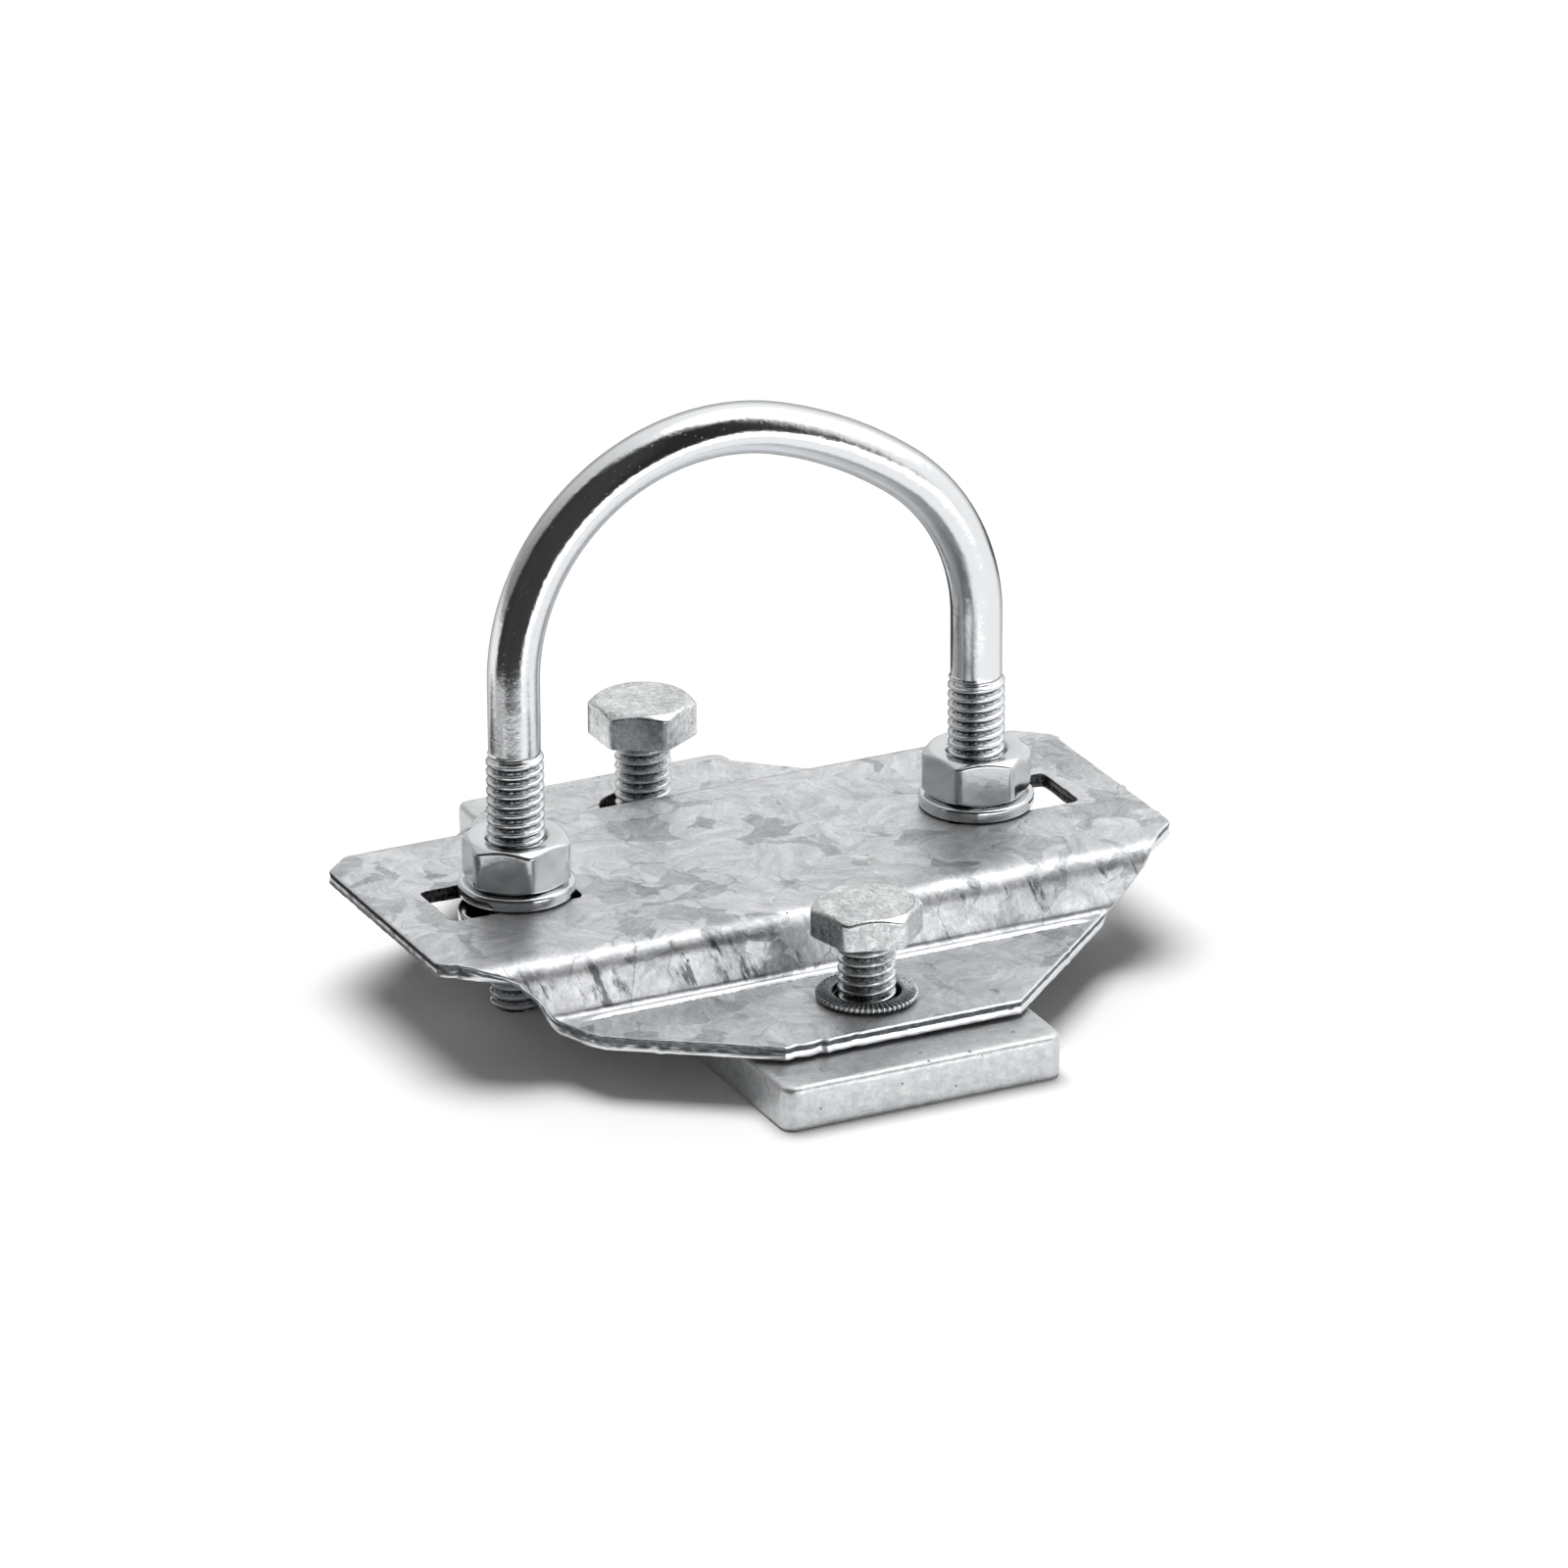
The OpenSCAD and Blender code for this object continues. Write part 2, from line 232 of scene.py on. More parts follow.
seam_part = add(tree, "MapRange", [(0, wander), (1, 0.54), (2, 0.6), (3, 0), (4, 0.8)])
seams = add(tree, "Math", [(0, seam), (1, seam_part)], operation="MULTIPLY")
dark_patches = add(tree, "Math", [(0, gaps), (1, dark_shards)], operation="MAXIMUM")
dark_marks = add(tree, "Math", [(0, dark_patches), (1, seams)], operation="MAXIMUM")
centre_light = add(tree, "Math", [(0, centres), (1, 0.04), (2, 0.0)], operation="MULTIPLY_ADD")
darkened = add(tree, "Math", [(0, dark_marks), (1, -0.27), (2, centre_light)], operation="MULTIPLY_ADD")
shard_grey = add(tree, "Math", [(0, shard_parts.outputs[1]), (1, 0.13), (2, darkened)],
                 operation="MULTIPLY_ADD")
branched = add(tree, "Math", [(0, branches), (1, 0.85), (2, shard_grey)], operation="MULTIPLY_ADD")
zinc_grey = add(tree, "Math", [(0, grain), (1, 0.55), (2, branched)], operation="MULTIPLY_ADD")
greys = add(tree, "ValToRGB", [(0, zinc_grey)], stops=((0.35, "#84888b"), (1.0, "#e6e7e9")))
print("nodes for the zinc's greys:", len(tree.nodes))

# %% [markdown]
# ### Streaks and painted shade on the steep walls
# The zinc skin crinkled where the press bent it, so streaks run down the walls. The hollow at
# their foot is darkened as painted shade. The streaks could be modelled, but they are far too
# fine. They are the low places of a noise that is drawn out down the wall, and the upright part
# of the normal tells where a wall is.

# %% Streaks
facing = add(tree, "NewGeometry")
upright = add(tree, "SeparateXYZ", [(0, facing.outputs["Normal"])])
steep = add(tree, "MapRange", [(0, upright.outputs[2]), (1, 0.93), (2, 0.5), (3, 0), (4, 1)])
slant = add(tree, "VectorRotate", [("Vector", place), ("Angle", 0.35)], rotation_type="Y_AXIS")
down = add(tree, "VectorMath", [(0, slant), (1, (0.26, 0.05, 0.07))], operation="MULTIPLY")
creases = add(tree, "TexNoise", [("Vector", down), ("Scale", 1), ("Detail", 6), ("Roughness", 0.7)])
crease = add(tree, "MapRange", [(0, creases), (1, 0.39), (2, 0.46), (3, 0.8), (4, 0)])
crease_part = add(tree, "Math", [(0, crease), (1, steep)], operation="MULTIPLY")
print("nodes with the streaks:", len(tree.nodes))

# %% Painted shade along the foot of each wall
level = add(tree, "SeparateXYZ", [(0, place)])
foot = add(tree, "MapRange", [(0, level.outputs[2]), (1, FLANGE_TOP + 0.3), (2, FLANGE_TOP + 2.0), (3, 0.55),
                              (4, 0)])
foot_wall = add(tree, "Math", [(0, foot), (1, steep)], operation="MULTIPLY")
foot_part = add(tree, "MapRange", [(0, creases), (1, 0.4), (2, 0.58), (3, 1), (4, 0.35)])
foot_shade = add(tree, "Math", [(0, foot_wall), (1, foot_part)], operation="MULTIPLY")
streaks_and_foot_shade = add(tree, "Math", [(0, crease_part), (1, foot_shade)], operation="MAXIMUM")
print("nodes with the dirt:", len(tree.nodes))

# %% [markdown]
# ### The press mark
# The press left a low ridge along the foot of the walls. Its back is painted light, a painted
# highlight, and a broken line of painted shade lies on each side. Giving these materials to whole
# faces makes ragged lines, so the shader finds the ridge by its coordinates.

# %% Press mark
from_middle = add(tree, "Math", [(0, level.outputs[1])], operation="ABSOLUTE")
ridge_place = add(tree, "Math", [(0, from_middle), (1, FOOT_Y + RIDGE_W / 2)], operation="SUBTRACT")
ridge_away = add(tree, "Math", [(0, ridge_place)], operation="ABSOLUTE")
end_away = add(tree, "Math", [(0, level)], operation="ABSOLUTE")
ridge_long = add(tree, "MapRange", [(0, end_away), (1, RIDGE_END - RIDGE_FADE), (2, RIDGE_END), (3, 1),
                                    (4, 0)])
ridge_level = add(tree, "Math", [(0, level.outputs[2]), (1, FLANGE_TOP + 0.25), (2, 0.45)],
                  operation="COMPARE")
on_ridge = add(tree, "Math", [(0, ridge_long), (1, ridge_level)], operation="MULTIPLY")
# Painted highlight along the ridge's back, and a broken line of painted shade on each side
ridge_highlight = add(tree, "MapRange", [(0, ridge_away), (1, RIDGE_W * 0.3), (2, RIDGE_W * 0.48), (3, 0.75), (4, 0)])
ridge_highlight_part = add(tree, "Math", [(0, ridge_highlight), (1, on_ridge)], operation="MULTIPLY")
line_away = add(tree, "Math", [(0, ridge_away), (1, RIDGE_W * 0.56)], operation="SUBTRACT")
line_near = add(tree, "Math", [(0, line_away)], operation="ABSOLUTE")
ridge_shade_line = add(tree, "MapRange", [(0, line_near), (1, 0.08), (2, 0.24), (3, 1), (4, 0)])
ridge_shade_part = add(tree, "Math", [(0, ridge_shade_line), (1, on_ridge)], operation="MULTIPLY")
ridge_shade_broken = add(tree, "MapRange", [(0, grain), (1, 0.4), (2, 0.6), (3, 0.9), (4, 0.25)])
ridge_shade_lines = add(tree, "Math", [(0, ridge_shade_part), (1, ridge_shade_broken)], operation="MULTIPLY")
streaks_and_painted_shade = add(tree, "Math", [(0, streaks_and_foot_shade), (1, ridge_shade_lines)], operation="MAXIMUM")
ridge_highlighted_greys = add(tree, "Mix", [("Factor", ridge_highlight_part), (6, greys), (7, colour("#f6f7f8"))], data_type="RGBA")
print("the ridge lies", FOOT_Y + RIDGE_W / 2, "mm from the middle")

# %% Black specks of dross in the zinc
dross = add(tree, "TexVoronoi", [("Vector", place), ("Scale", 0.3)])
dross_parts = add(tree, "SeparateColor", [(0, dross.outputs["Color"])])
dross_size = add(tree, "MapRange", [(0, dross_parts), (1, 0.75), (2, 1.0), (3, 0), (4, 0.1)])
speck = add(tree, "Math", [(0, dross.outputs["Distance"]), (1, dross_size)], operation="LESS_THAN")
# The dross specks, the streaks and the painted shade all darken the zinc towards one dark grey
marks_and_painted_shade = add(tree, "Math", [(0, speck), (1, 0.75), (2, streaks_and_painted_shade)], operation="MULTIPLY_ADD")
shaded = add(tree, "Mix", [("Factor", marks_and_painted_shade), (6, ridge_highlighted_greys.outputs[2]), (7, colour("#35383a"))],
             data_type="RGBA")
feed(tree, shader, [("Base Color", shaded.outputs[2])])
rough = add(tree, "MapRange", [(0, small_parts), (3, 0.3), (4, 0.4)])
feed(tree, shader, [("Roughness", rough)])
print("nodes with the specks:", len(tree.nodes))

# %% [markdown]
# ### Relief of the zinc
# Each crystal lies at a slight tilt of its own, so its random colour leans the normal a little.
# The branches, the grain and the creases are then a bump of up to 0.3 mm.

# %% Tilt and relief
lean = add(tree, "VectorMath", [(0, crystal.outputs["Color"]), (1, (0.5, 0.5, 0.5))], operation="SUBTRACT")
small_lean = add(tree, "VectorMath", [(0, small.outputs["Color"]), (1, (0.5, 0.5, 0.5))],
                 operation="SUBTRACT")
tilted = add(tree, "VectorMath", [(0, lean), (1, (0.05, 0.05, 0.05)), (2, facing.outputs["Normal"])],
             operation="MULTIPLY_ADD")
tilted_twice = add(tree, "VectorMath", [(0, small_lean), (1, (0.04, 0.04, 0.04)), (2, tilted)],
                   operation="MULTIPLY_ADD")
straight = add(tree, "VectorMath", [(0, tilted_twice)], operation="NORMALIZE")
height = add(tree, "Math", [(0, grain), (1, 0.3), (2, branches)], operation="MULTIPLY_ADD")
crinkled = add(tree, "Math", [(0, creases), (1, steep)], operation="MULTIPLY")
crinkled_height = add(tree, "Math", [(0, crinkled), (1, 1.6), (2, height)], operation="MULTIPLY_ADD")
relief = add(tree, "Bump", [("Height", crinkled_height), ("Strength", 0.4), ("Distance", 0.0003),
                            ("Normal", straight)])
feed(tree, shader, [("Normal", relief)])
print(galvanised.name, "has", len(tree.nodes), "nodes")

# %% [markdown]
# ### Cut edges of the sheet
# A press shears the blank out of the sheet. The upper part of the edge is dragged smooth and
# the rest tears, which leaves a darker, rougher band, with a bright line at the lower corner.
# The same zinc covers both, so only the colour and roughness differ. The rows of faces round
# the edge take these two materials.

# %% Edge materials
torn_edge, tree, shader = metal("Galvanised torn edge", "#85898c", 0.5)
grain = add(tree, "TexNoise", [("Vector", millimetres(tree)), ("Scale", 1.1), ("Detail", 5),
                               ("Roughness", 0.7)])
tone = add(tree, "ValToRGB", [(0, grain)], stops=((0.3, "#4a4d50"), (0.75, "#8d9194")))
feed(tree, shader, [("Base Color", tone)])
bump = add(tree, "Bump", [("Height", grain), ("Strength", 0.5), ("Distance", 0.0003)])
feed(tree, shader, [("Normal", bump)])

smooth_edge, tree, shader = metal("Galvanised smooth edge", "#e4e6e8", 0.3)
grain = add(tree, "TexNoise", [("Vector", millimetres(tree)), ("Scale", 0.8), ("Detail", 3)])
bump = add(tree, "Bump", [("Height", grain), ("Strength", 0.3), ("Distance", 0.0003)])
feed(tree, shader, [("Normal", bump)])
print("edge materials:", torn_edge.name, "and", smooth_edge.name)

# %% [markdown]
# ### Bright zinc on drawn rod
# The rod was drawn smooth and then electroplated with a thin bright zinc. It reflects almost
# like chrome, with slow swells from the bending and small dull nicks. So it has a low roughness
# and only a faint relief. Towards its rims its colour falls off with the angle at which it is
# seen, a painted shade that makes it look darker than a mirror alone would.

# %% Bright zinc rod material
bright_rod, tree, shader = metal("Bright zinc plated drawn rod", "#e6e8ea", 0.09)
place = millimetres(tree)
pits = add(tree, "TexNoise", [("Vector", place), ("Scale", 1.3), ("Detail", 5), ("Roughness", 0.7)])
swell = add(tree, "TexNoise", [("Vector", place), ("Scale", 0.16), ("Detail", 3)])
height = add(tree, "Math", [(0, swell), (1, 3.5), (2, pits)], operation="MULTIPLY_ADD")
bump = add(tree, "Bump", [("Height", height), ("Strength", 0.4), ("Distance", 0.0001)])
feed(tree, shader, [("Normal", bump)])
knock = add(tree, "TexVoronoi", [("Vector", place), ("Scale", 0.8)])
nicks = add(tree, "MapRange", [(0, knock.outputs["Distance"]), (1, 0.05), (2, 0.14), (3, 0.5), (4, 0.08)])
feed(tree, shader, [("Roughness", nicks)])

# Painted shade: seen edge on, the rod's colour is darker
edge_on = add(tree, "LayerWeight", [("Blend", 0.5)])
rim = add(tree, "MapRange", [(0, edge_on.outputs["Facing"]), (1, 0.5), (2, 0.82), (3, 0), (4, 0.92)])
rimmed = add(tree, "Mix", [("Factor", rim), (6, colour("#e6e8ea")), (7, colour("#4c4e50"))], data_type="RGBA")
feed(tree, shader, [("Base Color", rimmed.outputs[2])])
print(bright_rod.name, "has", len(tree.nodes), "nodes")

# %% [markdown]
# ### Zinc plated bolts
# Bolts are tumbled together in a plating barrel. They are glossy but not mirror clean: knocks,
# fine scratches and a soft unevenness spread every reflection. A scratch texture would repeat
# on each face, so the scratches are thin level lines of noises that are drawn out.

# %% Bolt material
fastener, tree, shader = metal("Barrel zinc plated steel", "#ced1d4", 0.2)
place = millimetres(tree)
knocks = add(tree, "TexNoise", [("Vector", place), ("Scale", 0.9), ("Detail", 6), ("Roughness", 0.7)])
cloud = add(tree, "TexNoise", [("Vector", place), ("Scale", 0.2), ("Detail", 2)])

# Two sets of scratches, each drawn out in its own direction
cuts = []
for squeeze in ((0.1, 1.1, 0.7), (0.9, 0.12, 0.5)):
    pulled = add(tree, "VectorMath", [(0, place), (1, squeeze)], operation="MULTIPLY")
    lines = add(tree, "TexNoise", [("Vector", pulled), ("Scale", 1), ("Detail", 2)])
    level = add(tree, "Math", [(0, lines), (1, 0.5)], operation="SUBTRACT")
    near = add(tree, "Math", [(0, level)], operation="ABSOLUTE")
    cuts.append(add(tree, "MapRange", [(0, near), (1, 0.004), (2, 0.016), (3, 1), (4, 0)]))
crossed = add(tree, "Math", [(0, cuts[0]), (1, cuts[1])], operation="MAXIMUM")
broken = add(tree, "MapRange", [(0, knocks), (1, 0.45), (2, 0.6), (3, 0), (4, 1)])
scratches = add(tree, "Math", [(0, crossed), (1, broken)], operation="MULTIPLY")
clouded = add(tree, "Math", [(0, cloud), (1, 0.4), (2, knocks)], operation="MULTIPLY_ADD")
scratched = add(tree, "Math", [(0, scratches), (1, -0.4), (2, clouded)], operation="MULTIPLY_ADD")
greys = add(tree, "ValToRGB", [(0, scratched)], stops=((0.38, "#76797c"), (0.82, "#eceeef")))
feed(tree, shader, [("Base Color", greys)])
height = add(tree, "Math", [(0, scratches), (1, -0.5), (2, knocks)], operation="MULTIPLY_ADD")
bump = add(tree, "Bump", [("Height", height), ("Strength", 0.3), ("Distance", 0.0002)])
feed(tree, shader, [("Normal", bump)])
smear = add(tree, "MapRange", [(0, knocks), (1, 0.3), (2, 0.7), (3, 0.1), (4, 0.24)])
feed(tree, shader, [("Roughness", smear)])
print(fastener.name, "has", len(cuts), "sets of scratches")

# %% [markdown]
# ### Bright nuts and flat washers
# These have a brighter coat than the bolts and hardly a scratch, so they mirror the room almost
# as clearly as the rod. Only slow waves in the surface bend the reflections.

# %% Nut material
plated_nut, tree, shader = metal("Bright zinc plated nut", "#d2d4d6", 0.12)
place = millimetres(tree)
waves = add(tree, "TexNoise", [("Vector", place), ("Scale", 0.45), ("Detail", 5), ("Roughness", 0.62)])
bump = add(tree, "Bump", [("Height", waves), ("Strength", 0.22), ("Distance", 0.0002)])
feed(tree, shader, [("Normal", bump)])
smear = add(tree, "MapRange", [(0, waves), (1, 0.3), (2, 0.7), (3, 0.08), (4, 0.2)])
feed(tree, shader, [("Roughness", smear)])
print(plated_nut.name, "has", len(tree.nodes), "nodes")

# %% [markdown]
# ### Painted shade in the corners
# The narrowest places, the roots of the threads, the walls of the slots and holes, and the line
# where a washer meets the plate, take a darker, duller zinc. This is painted shade, and it draws
# the fine dark lines that make small hardware readable.

# %% Painted shade material
shade_painted_zinc, tree, shader = metal("Zinc with painted shade in threads and corners", "#4a4c4e", 0.4)
grain = add(tree, "TexNoise", [("Vector", millimetres(tree)), ("Scale", 1.8), ("Detail", 3)])
tone = add(tree, "ValToRGB", [(0, grain)], stops=((0.35, "#2e2f30"), (0.7, "#7a7c7e")))
feed(tree, shader, [("Base Color", tone)])
print(shade_painted_zinc.name, "has", len(tree.nodes), "nodes")

# %% [markdown]
# ### Phosphated spring steel
# Lock washers are hardened and then phosphated, which leaves them dark grey and dull. Their
# notched rim gets a lighter, glossier steel: a painted highlight.

# %% Lock washer material
spring_steel, tree, shader = metal("Phosphated spring steel", "#77797b", 0.36)
grain = add(tree, "TexNoise", [("Vector", millimetres(tree)), ("Scale", 2.5), ("Detail", 4)])
tone = add(tree, "ValToRGB", [(0, grain)], stops=((0.35, "#5e6062"), (0.7, "#a0a3a5")))
feed(tree, shader, [("Base Color", tone)])

rim_highlight_steel, tree, shader = metal("Spring steel rim with painted highlight", "#d2d4d6", 0.26)
grain = add(tree, "TexNoise", [("Vector", millimetres(tree)), ("Scale", 2.5), ("Detail", 3)])
bump = add(tree, "Bump", [("Height", grain), ("Strength", 0.4), ("Distance", 0.0002)])
feed(tree, shader, [("Normal", bump)])
print("lock washer materials:", spring_steel.name, "and", rim_highlight_steel.name)

# %% [markdown]
# ### Zinc plated bar
# The clamp plates are cut from rolled bar and plated. The skin is satin, slightly pitted and
# streaked along the bar.

# %% Clamp plate material
bar, tree, shader = metal("Satin zinc plated bar", "#d7dadd", 0.34)
shader.inputs["Metallic"].default_value = 0.8
place = millimetres(tree)
pits = add(tree, "TexVoronoi", [("Vector", place), ("Scale", 0.4)])
pit_parts = add(tree, "SeparateColor", [(0, pits.outputs["Color"])])
pit_size = add(tree, "MapRange", [(0, pit_parts), (1, 0.3), (2, 1.0), (3, 0), (4, 0.17)])
pitted = add(tree, "Math", [(0, pits.outputs["Distance"]), (1, pit_size)], operation="LESS_THAN")
grain = add(tree, "TexNoise", [("Vector", place), ("Scale", 0.7), ("Detail", 6), ("Roughness", 0.7)])
rolled = add(tree, "VectorMath", [(0, place), (1, (0.12, 0.9, 0.5))], operation="MULTIPLY")
streaks = add(tree, "TexNoise", [("Vector", rolled), ("Scale", 1), ("Detail", 4), ("Roughness", 0.6)])
mixed = add(tree, "Math", [(0, streaks), (1, 0.35), (2, grain)], operation="MULTIPLY_ADD")
greys = add(tree, "ValToRGB", [(0, mixed)], stops=((0.25, "#a3a7aa"), (0.95, "#e8e9ea")))
spotted = add(tree, "Mix", [("Factor", pitted), (6, greys), (7, colour("#85888b"))], data_type="RGBA")
feed(tree, shader, [("Base Color", spotted.outputs[2])])
height = add(tree, "Math", [(0, pitted), (1, -0.2), (2, mixed)], operation="MULTIPLY_ADD")
bump = add(tree, "Bump", [("Height", height), ("Strength", 0.45), ("Distance", 0.0004)])
feed(tree, shader, [("Normal", bump)])
print("materials:", len(bpy.data.materials))

# %% [markdown]
# ## Threads
# A rolled thread is a ridge that climbs one pitch a turn, so the radius at a point depends only
# on how far that point is up the pitch once its angle is taken off. The legs, and the shanks of
# the bolts, use one function for this. At a tip the ridge is cut by a chamfer, and at the other
# end it runs out on the plain rod.

# %% Thread profile
TURN_POINTS, STEPS_A_PITCH = 72, 16
THREAD_DEPTH = 1.05
CREST, FLANK = 0.22, 0.68  # shares of half a pitch: flat crest, and slope down to the root
SHADE_DEPTH = 0.88  # below this share of the depth the root takes the painted shade


def smooth_step(t):
    """0 to 1, with a soft start and a soft end."""
    t = min(max(t, 0), 1)
    return t * t * (3 - 2 * t)


def cut_depth(phase):
    """How deep the thread is cut at a phase of its pitch, from 0 at the crest to 1 at the root."""
    return smooth_step((abs((phase + 0.5) % 1 - 0.5) * 2 - CREST) / FLANK)


def thread(x, y, start, end, runout=0.0):
    """Points, faces and face materials of a thread up to a height. Its last turns get shallow
    over the length of its runout, and its tip is chamfered and closed."""
    steps = int((end - start) / PITCH * STEPS_A_PITCH)
    half_step = (end - start) / steps / 2
    core = ROD_R if runout else THREAD_R
    rings, kinds = [[(x, y, start)] * TURN_POINTS], []
    for i in range(steps + 1):
        z = start + (end - start) * i / steps
        fade = min(max(end - z, 0) / runout, 1) if runout else 1
        grown = min(fade * 2.5, 1)
        crest = core + (THREAD_R - core) * smooth_step(grown)
        tip = THREAD_R - 1 + min(z - start, 1)
        ring = []
        for j in range(TURN_POINTS):
            a = 2 * pi * j / TURN_POINTS
            r = min(crest - THREAD_DEPTH * grown * cut_depth(z / PITCH - j / TURN_POINTS), tip)
            ring.append((x + r * cos(a), y + r * sin(a), z))
            if i < steps:
                middle = cut_depth((z + half_step) / PITCH - (j + 0.5) / TURN_POINTS)
                # Faces deep in a thread's root take the painted shade
                kinds.append(int(middle > SHADE_DEPTH and fade > 0.45))
        rings.append(ring)
    points, faces = bands(rings)
    return points, faces, [0] * TURN_POINTS + kinds


print("depth of cut over a pitch:", [round(cut_depth(i / 8), 2) for i in range(9)])

# %% [markdown]
# ## The U-bolt
# The rod was bent cold round a former, and its crown is visibly uneven: the left shoulder turns
# in one wide arc, then comes a flatter stretch, and the right shoulder is tighter. A spline could
# copy that, but three arcs that meet in line are simpler and are what a bending tool makes.

# %% Bend the rod
ARCS = [  # centre x, centre z, radius, from, to (degrees)
    (-5.5, 58.8, 38.7, 180.0, 73.7398),
    (-14.88, 26.64, 72.2, 73.7398, 53.1301),
    (6.9, 55.68, 35.9, 53.1301, 0.0),
]


def rod_ring(x, z, out_x, out_z):
    """A ring of the rod where its outer side faces (out_x, out_z)."""
    ring = []
    for i in range(TURN_POINTS):
        a = 2 * pi * i / TURN_POINTS
        ring.append((x + ROD_R * cos(a) * out_x, ROD_R * sin(a), z + ROD_R * cos(a) * out_z))
    return ring


bend_z = (ARCS[0][1], ARCS[-1][1])  # heights at which the straight legs end
crown = [rod_ring(LEG_X[0], THREAD_TOP[0] + (bend_z[0] - THREAD_TOP[0]) * i / 8, -1, 0) for i in range(8)]
for cx, cz, radius, begin, end in ARCS:
    steps = int(abs(begin - end) / 1.6)
    for i in range(steps):
        a = radians(begin + (end - begin) * i / steps)
        crown.append(rod_ring(cx + radius * cos(a), cz + radius * sin(a), cos(a), sin(a)))
crown += [rod_ring(LEG_X[1], bend_z[1] + (THREAD_TOP[1] - bend_z[1]) * i / 6, 1, 0) for i in range(7)]
print("rings along the crown:", len(crown))

# %% Join the legs to the crown
points, faces = bands(crown)
kinds = [0] * len(faces)
for x, top in zip(LEG_X, THREAD_TOP):
    leg_points, leg_faces, leg_kinds = thread(x, 0, 0.0, top, runout=3.5)
    faces += [[v + len(points) for v in f] for f in leg_faces]
    points += leg_points
    kinds += leg_kinds
u_bolt = make_piece("bent_u_bolt", points, faces, [bright_rod, shade_painted_zinc], kinds)
finish_piece(u_bolt, "bright_zinc", "u_bolt")

# %% [markdown]
# ## Nuts and bolt heads
# A hexagon is forged or milled, so its upright edges are slightly round, and a cone turned on
# its end cuts the corners off in the curved arcs that every nut shows. Cutting a cone with a
# boolean leaves hard edges. Here the radius at each angle and height is the smaller of the
# hexagon's and the cone's, softened where they meet, and that gives arcs and soft edges at once.

# %% Hexagon rings
HEX_POINTS = 144
SOFT = 22  # the higher, the sharper the hexagon's upright edges


def hex_radius(angle):
    """Distance from the middle of a hexagon with slightly round edges to its side."""
    total = sum(max(cos(angle - k * pi / 3), 0) ** SOFT for k in range(6))
    return FLATS / 2 * total ** (-1 / SOFT)


def softer_min(a, b, soft=0.4):
    """The smaller of two radii, rounded off where they are nearly equal."""
    h = max(soft - abs(a - b), 0) / soft
    return min(a, b) - h * h * soft / 4


def hex_ring(x, y, z, turn, cone):
    """A ring of a hexagon whose corner points at turn, no wider than the cone's radius."""
    ring = []
    for i in range(HEX_POINTS):
        a = 2 * pi * i / HEX_POINTS
        r = softer_min(hex_radius(a - radians(turn + 30)), cone)
        ring.append((x + r * cos(a), y + r * sin(a), z))
    return ring


def round_ring(x, y, z, r, count=HEX_POINTS):
    return [(x + r * cos(2 * pi * i / count), y + r * sin(2 * pi * i / count), z) for i in range(count)]


HEX_FACE_R = 0.95 * FLATS / 2
CHAMFER = (FLATS / cos(radians(30)) / 2 - HEX_FACE_R) * tan(radians(30))


def chamfer_steps(z, direction):
    """Heights and cone radii down a turned chamfer, from the face at z."""
    return [(z + direction * CHAMFER * t, HEX_FACE_R + CHAMFER * t / tan(radians(30)))
            for t in (0, 0.12, 0.25, 0.4, 0.55, 0.7, 0.85, 1.0, 1.2)]


def make_nut(name, x, y, z, turn):
    """A hex nut with a turned chamfer at both ends and a countersunk bore."""
    bore = THREAD_R - 0.1
    low, high = z, z + NUT_T
    rings = [round_ring(x, y, low, bore + 0.9), round_ring(x, y, low, HEX_FACE_R - 0.25)]
    rings += [hex_ring(x, y, h, turn, r) for h, r in chamfer_steps(low, 1)]
    rings += [hex_ring(x, y, h, turn, r) for h, r in reversed(chamfer_steps(high, -1))]
    rings += [round_ring(x, y, high, HEX_FACE_R - 0.25), round_ring(x, y, high, bore + 1.0),
              round_ring(x, y, high - 0.12, bore + 0.75), round_ring(x, y, high - 0.9, bore),
              round_ring(x, y, low + 0.9, bore)]
    points, faces = bands(rings, close=True)
    return make_piece(name, points, faces, [plated_nut])


# %% Four nuts
upper_z, lower_z = BAND_TOP + WASHER_T, BAND_TOP - SHEET - WASHER_T - NUT_T
for name, x, z, turn in (("upper_nut_left", LEG_X[0], upper_z, 20), ("upper_nut_right", LEG_X[1], upper_z, 43),
                         ("lower_nut_left", LEG_X[0], lower_z, 43), ("lower_nut_right", LEG_X[1], lower_z, 20)):
    finish_piece(make_nut(name + "_hex", x, 0, z, turn), "zinc_fastener", name)

# %% [markdown]
# ## Clamp bolts
# Both bolts are set screws: threaded all the way up to a thin round seat under the head. The
# head's marks are left off. Each stands as far out of its clamp plate as the real one does.

# %% Bolts
def make_bolt(name, x, y, tip, head_h, turn):
    """A hex bolt with a chamfered head, threaded right up to it."""
    under, uncut = tip + SHANK, FLATS
    top = under + head_h
    points, faces, kinds = thread(x, y, tip, under)
    head = [round_ring(x, y, under + h, r) for r, h in ((0.001, 0), (7.7, 0), (7.95, 0.08), (7.99, 0.4))]
    head += [hex_ring(x, y, under + h, turn, uncut) for h in (0.4, 0.46, 0.6)]
    head += [hex_ring(x, y, h, turn, r) for h, r in reversed(chamfer_steps(top, -1))]
    head += [round_ring(x, y, top, HEX_FACE_R - 0.3), round_ring(x, y, top, 4.0), round_ring(x, y, top, 0.001)]
    head_points, head_faces = bands(head)
    faces += [[v + len(points) for v in f] for f in head_faces]
    return make_piece(name, points + head_points, faces, [fastener, shade_painted_zinc], kinds + [0] * len(head_faces))


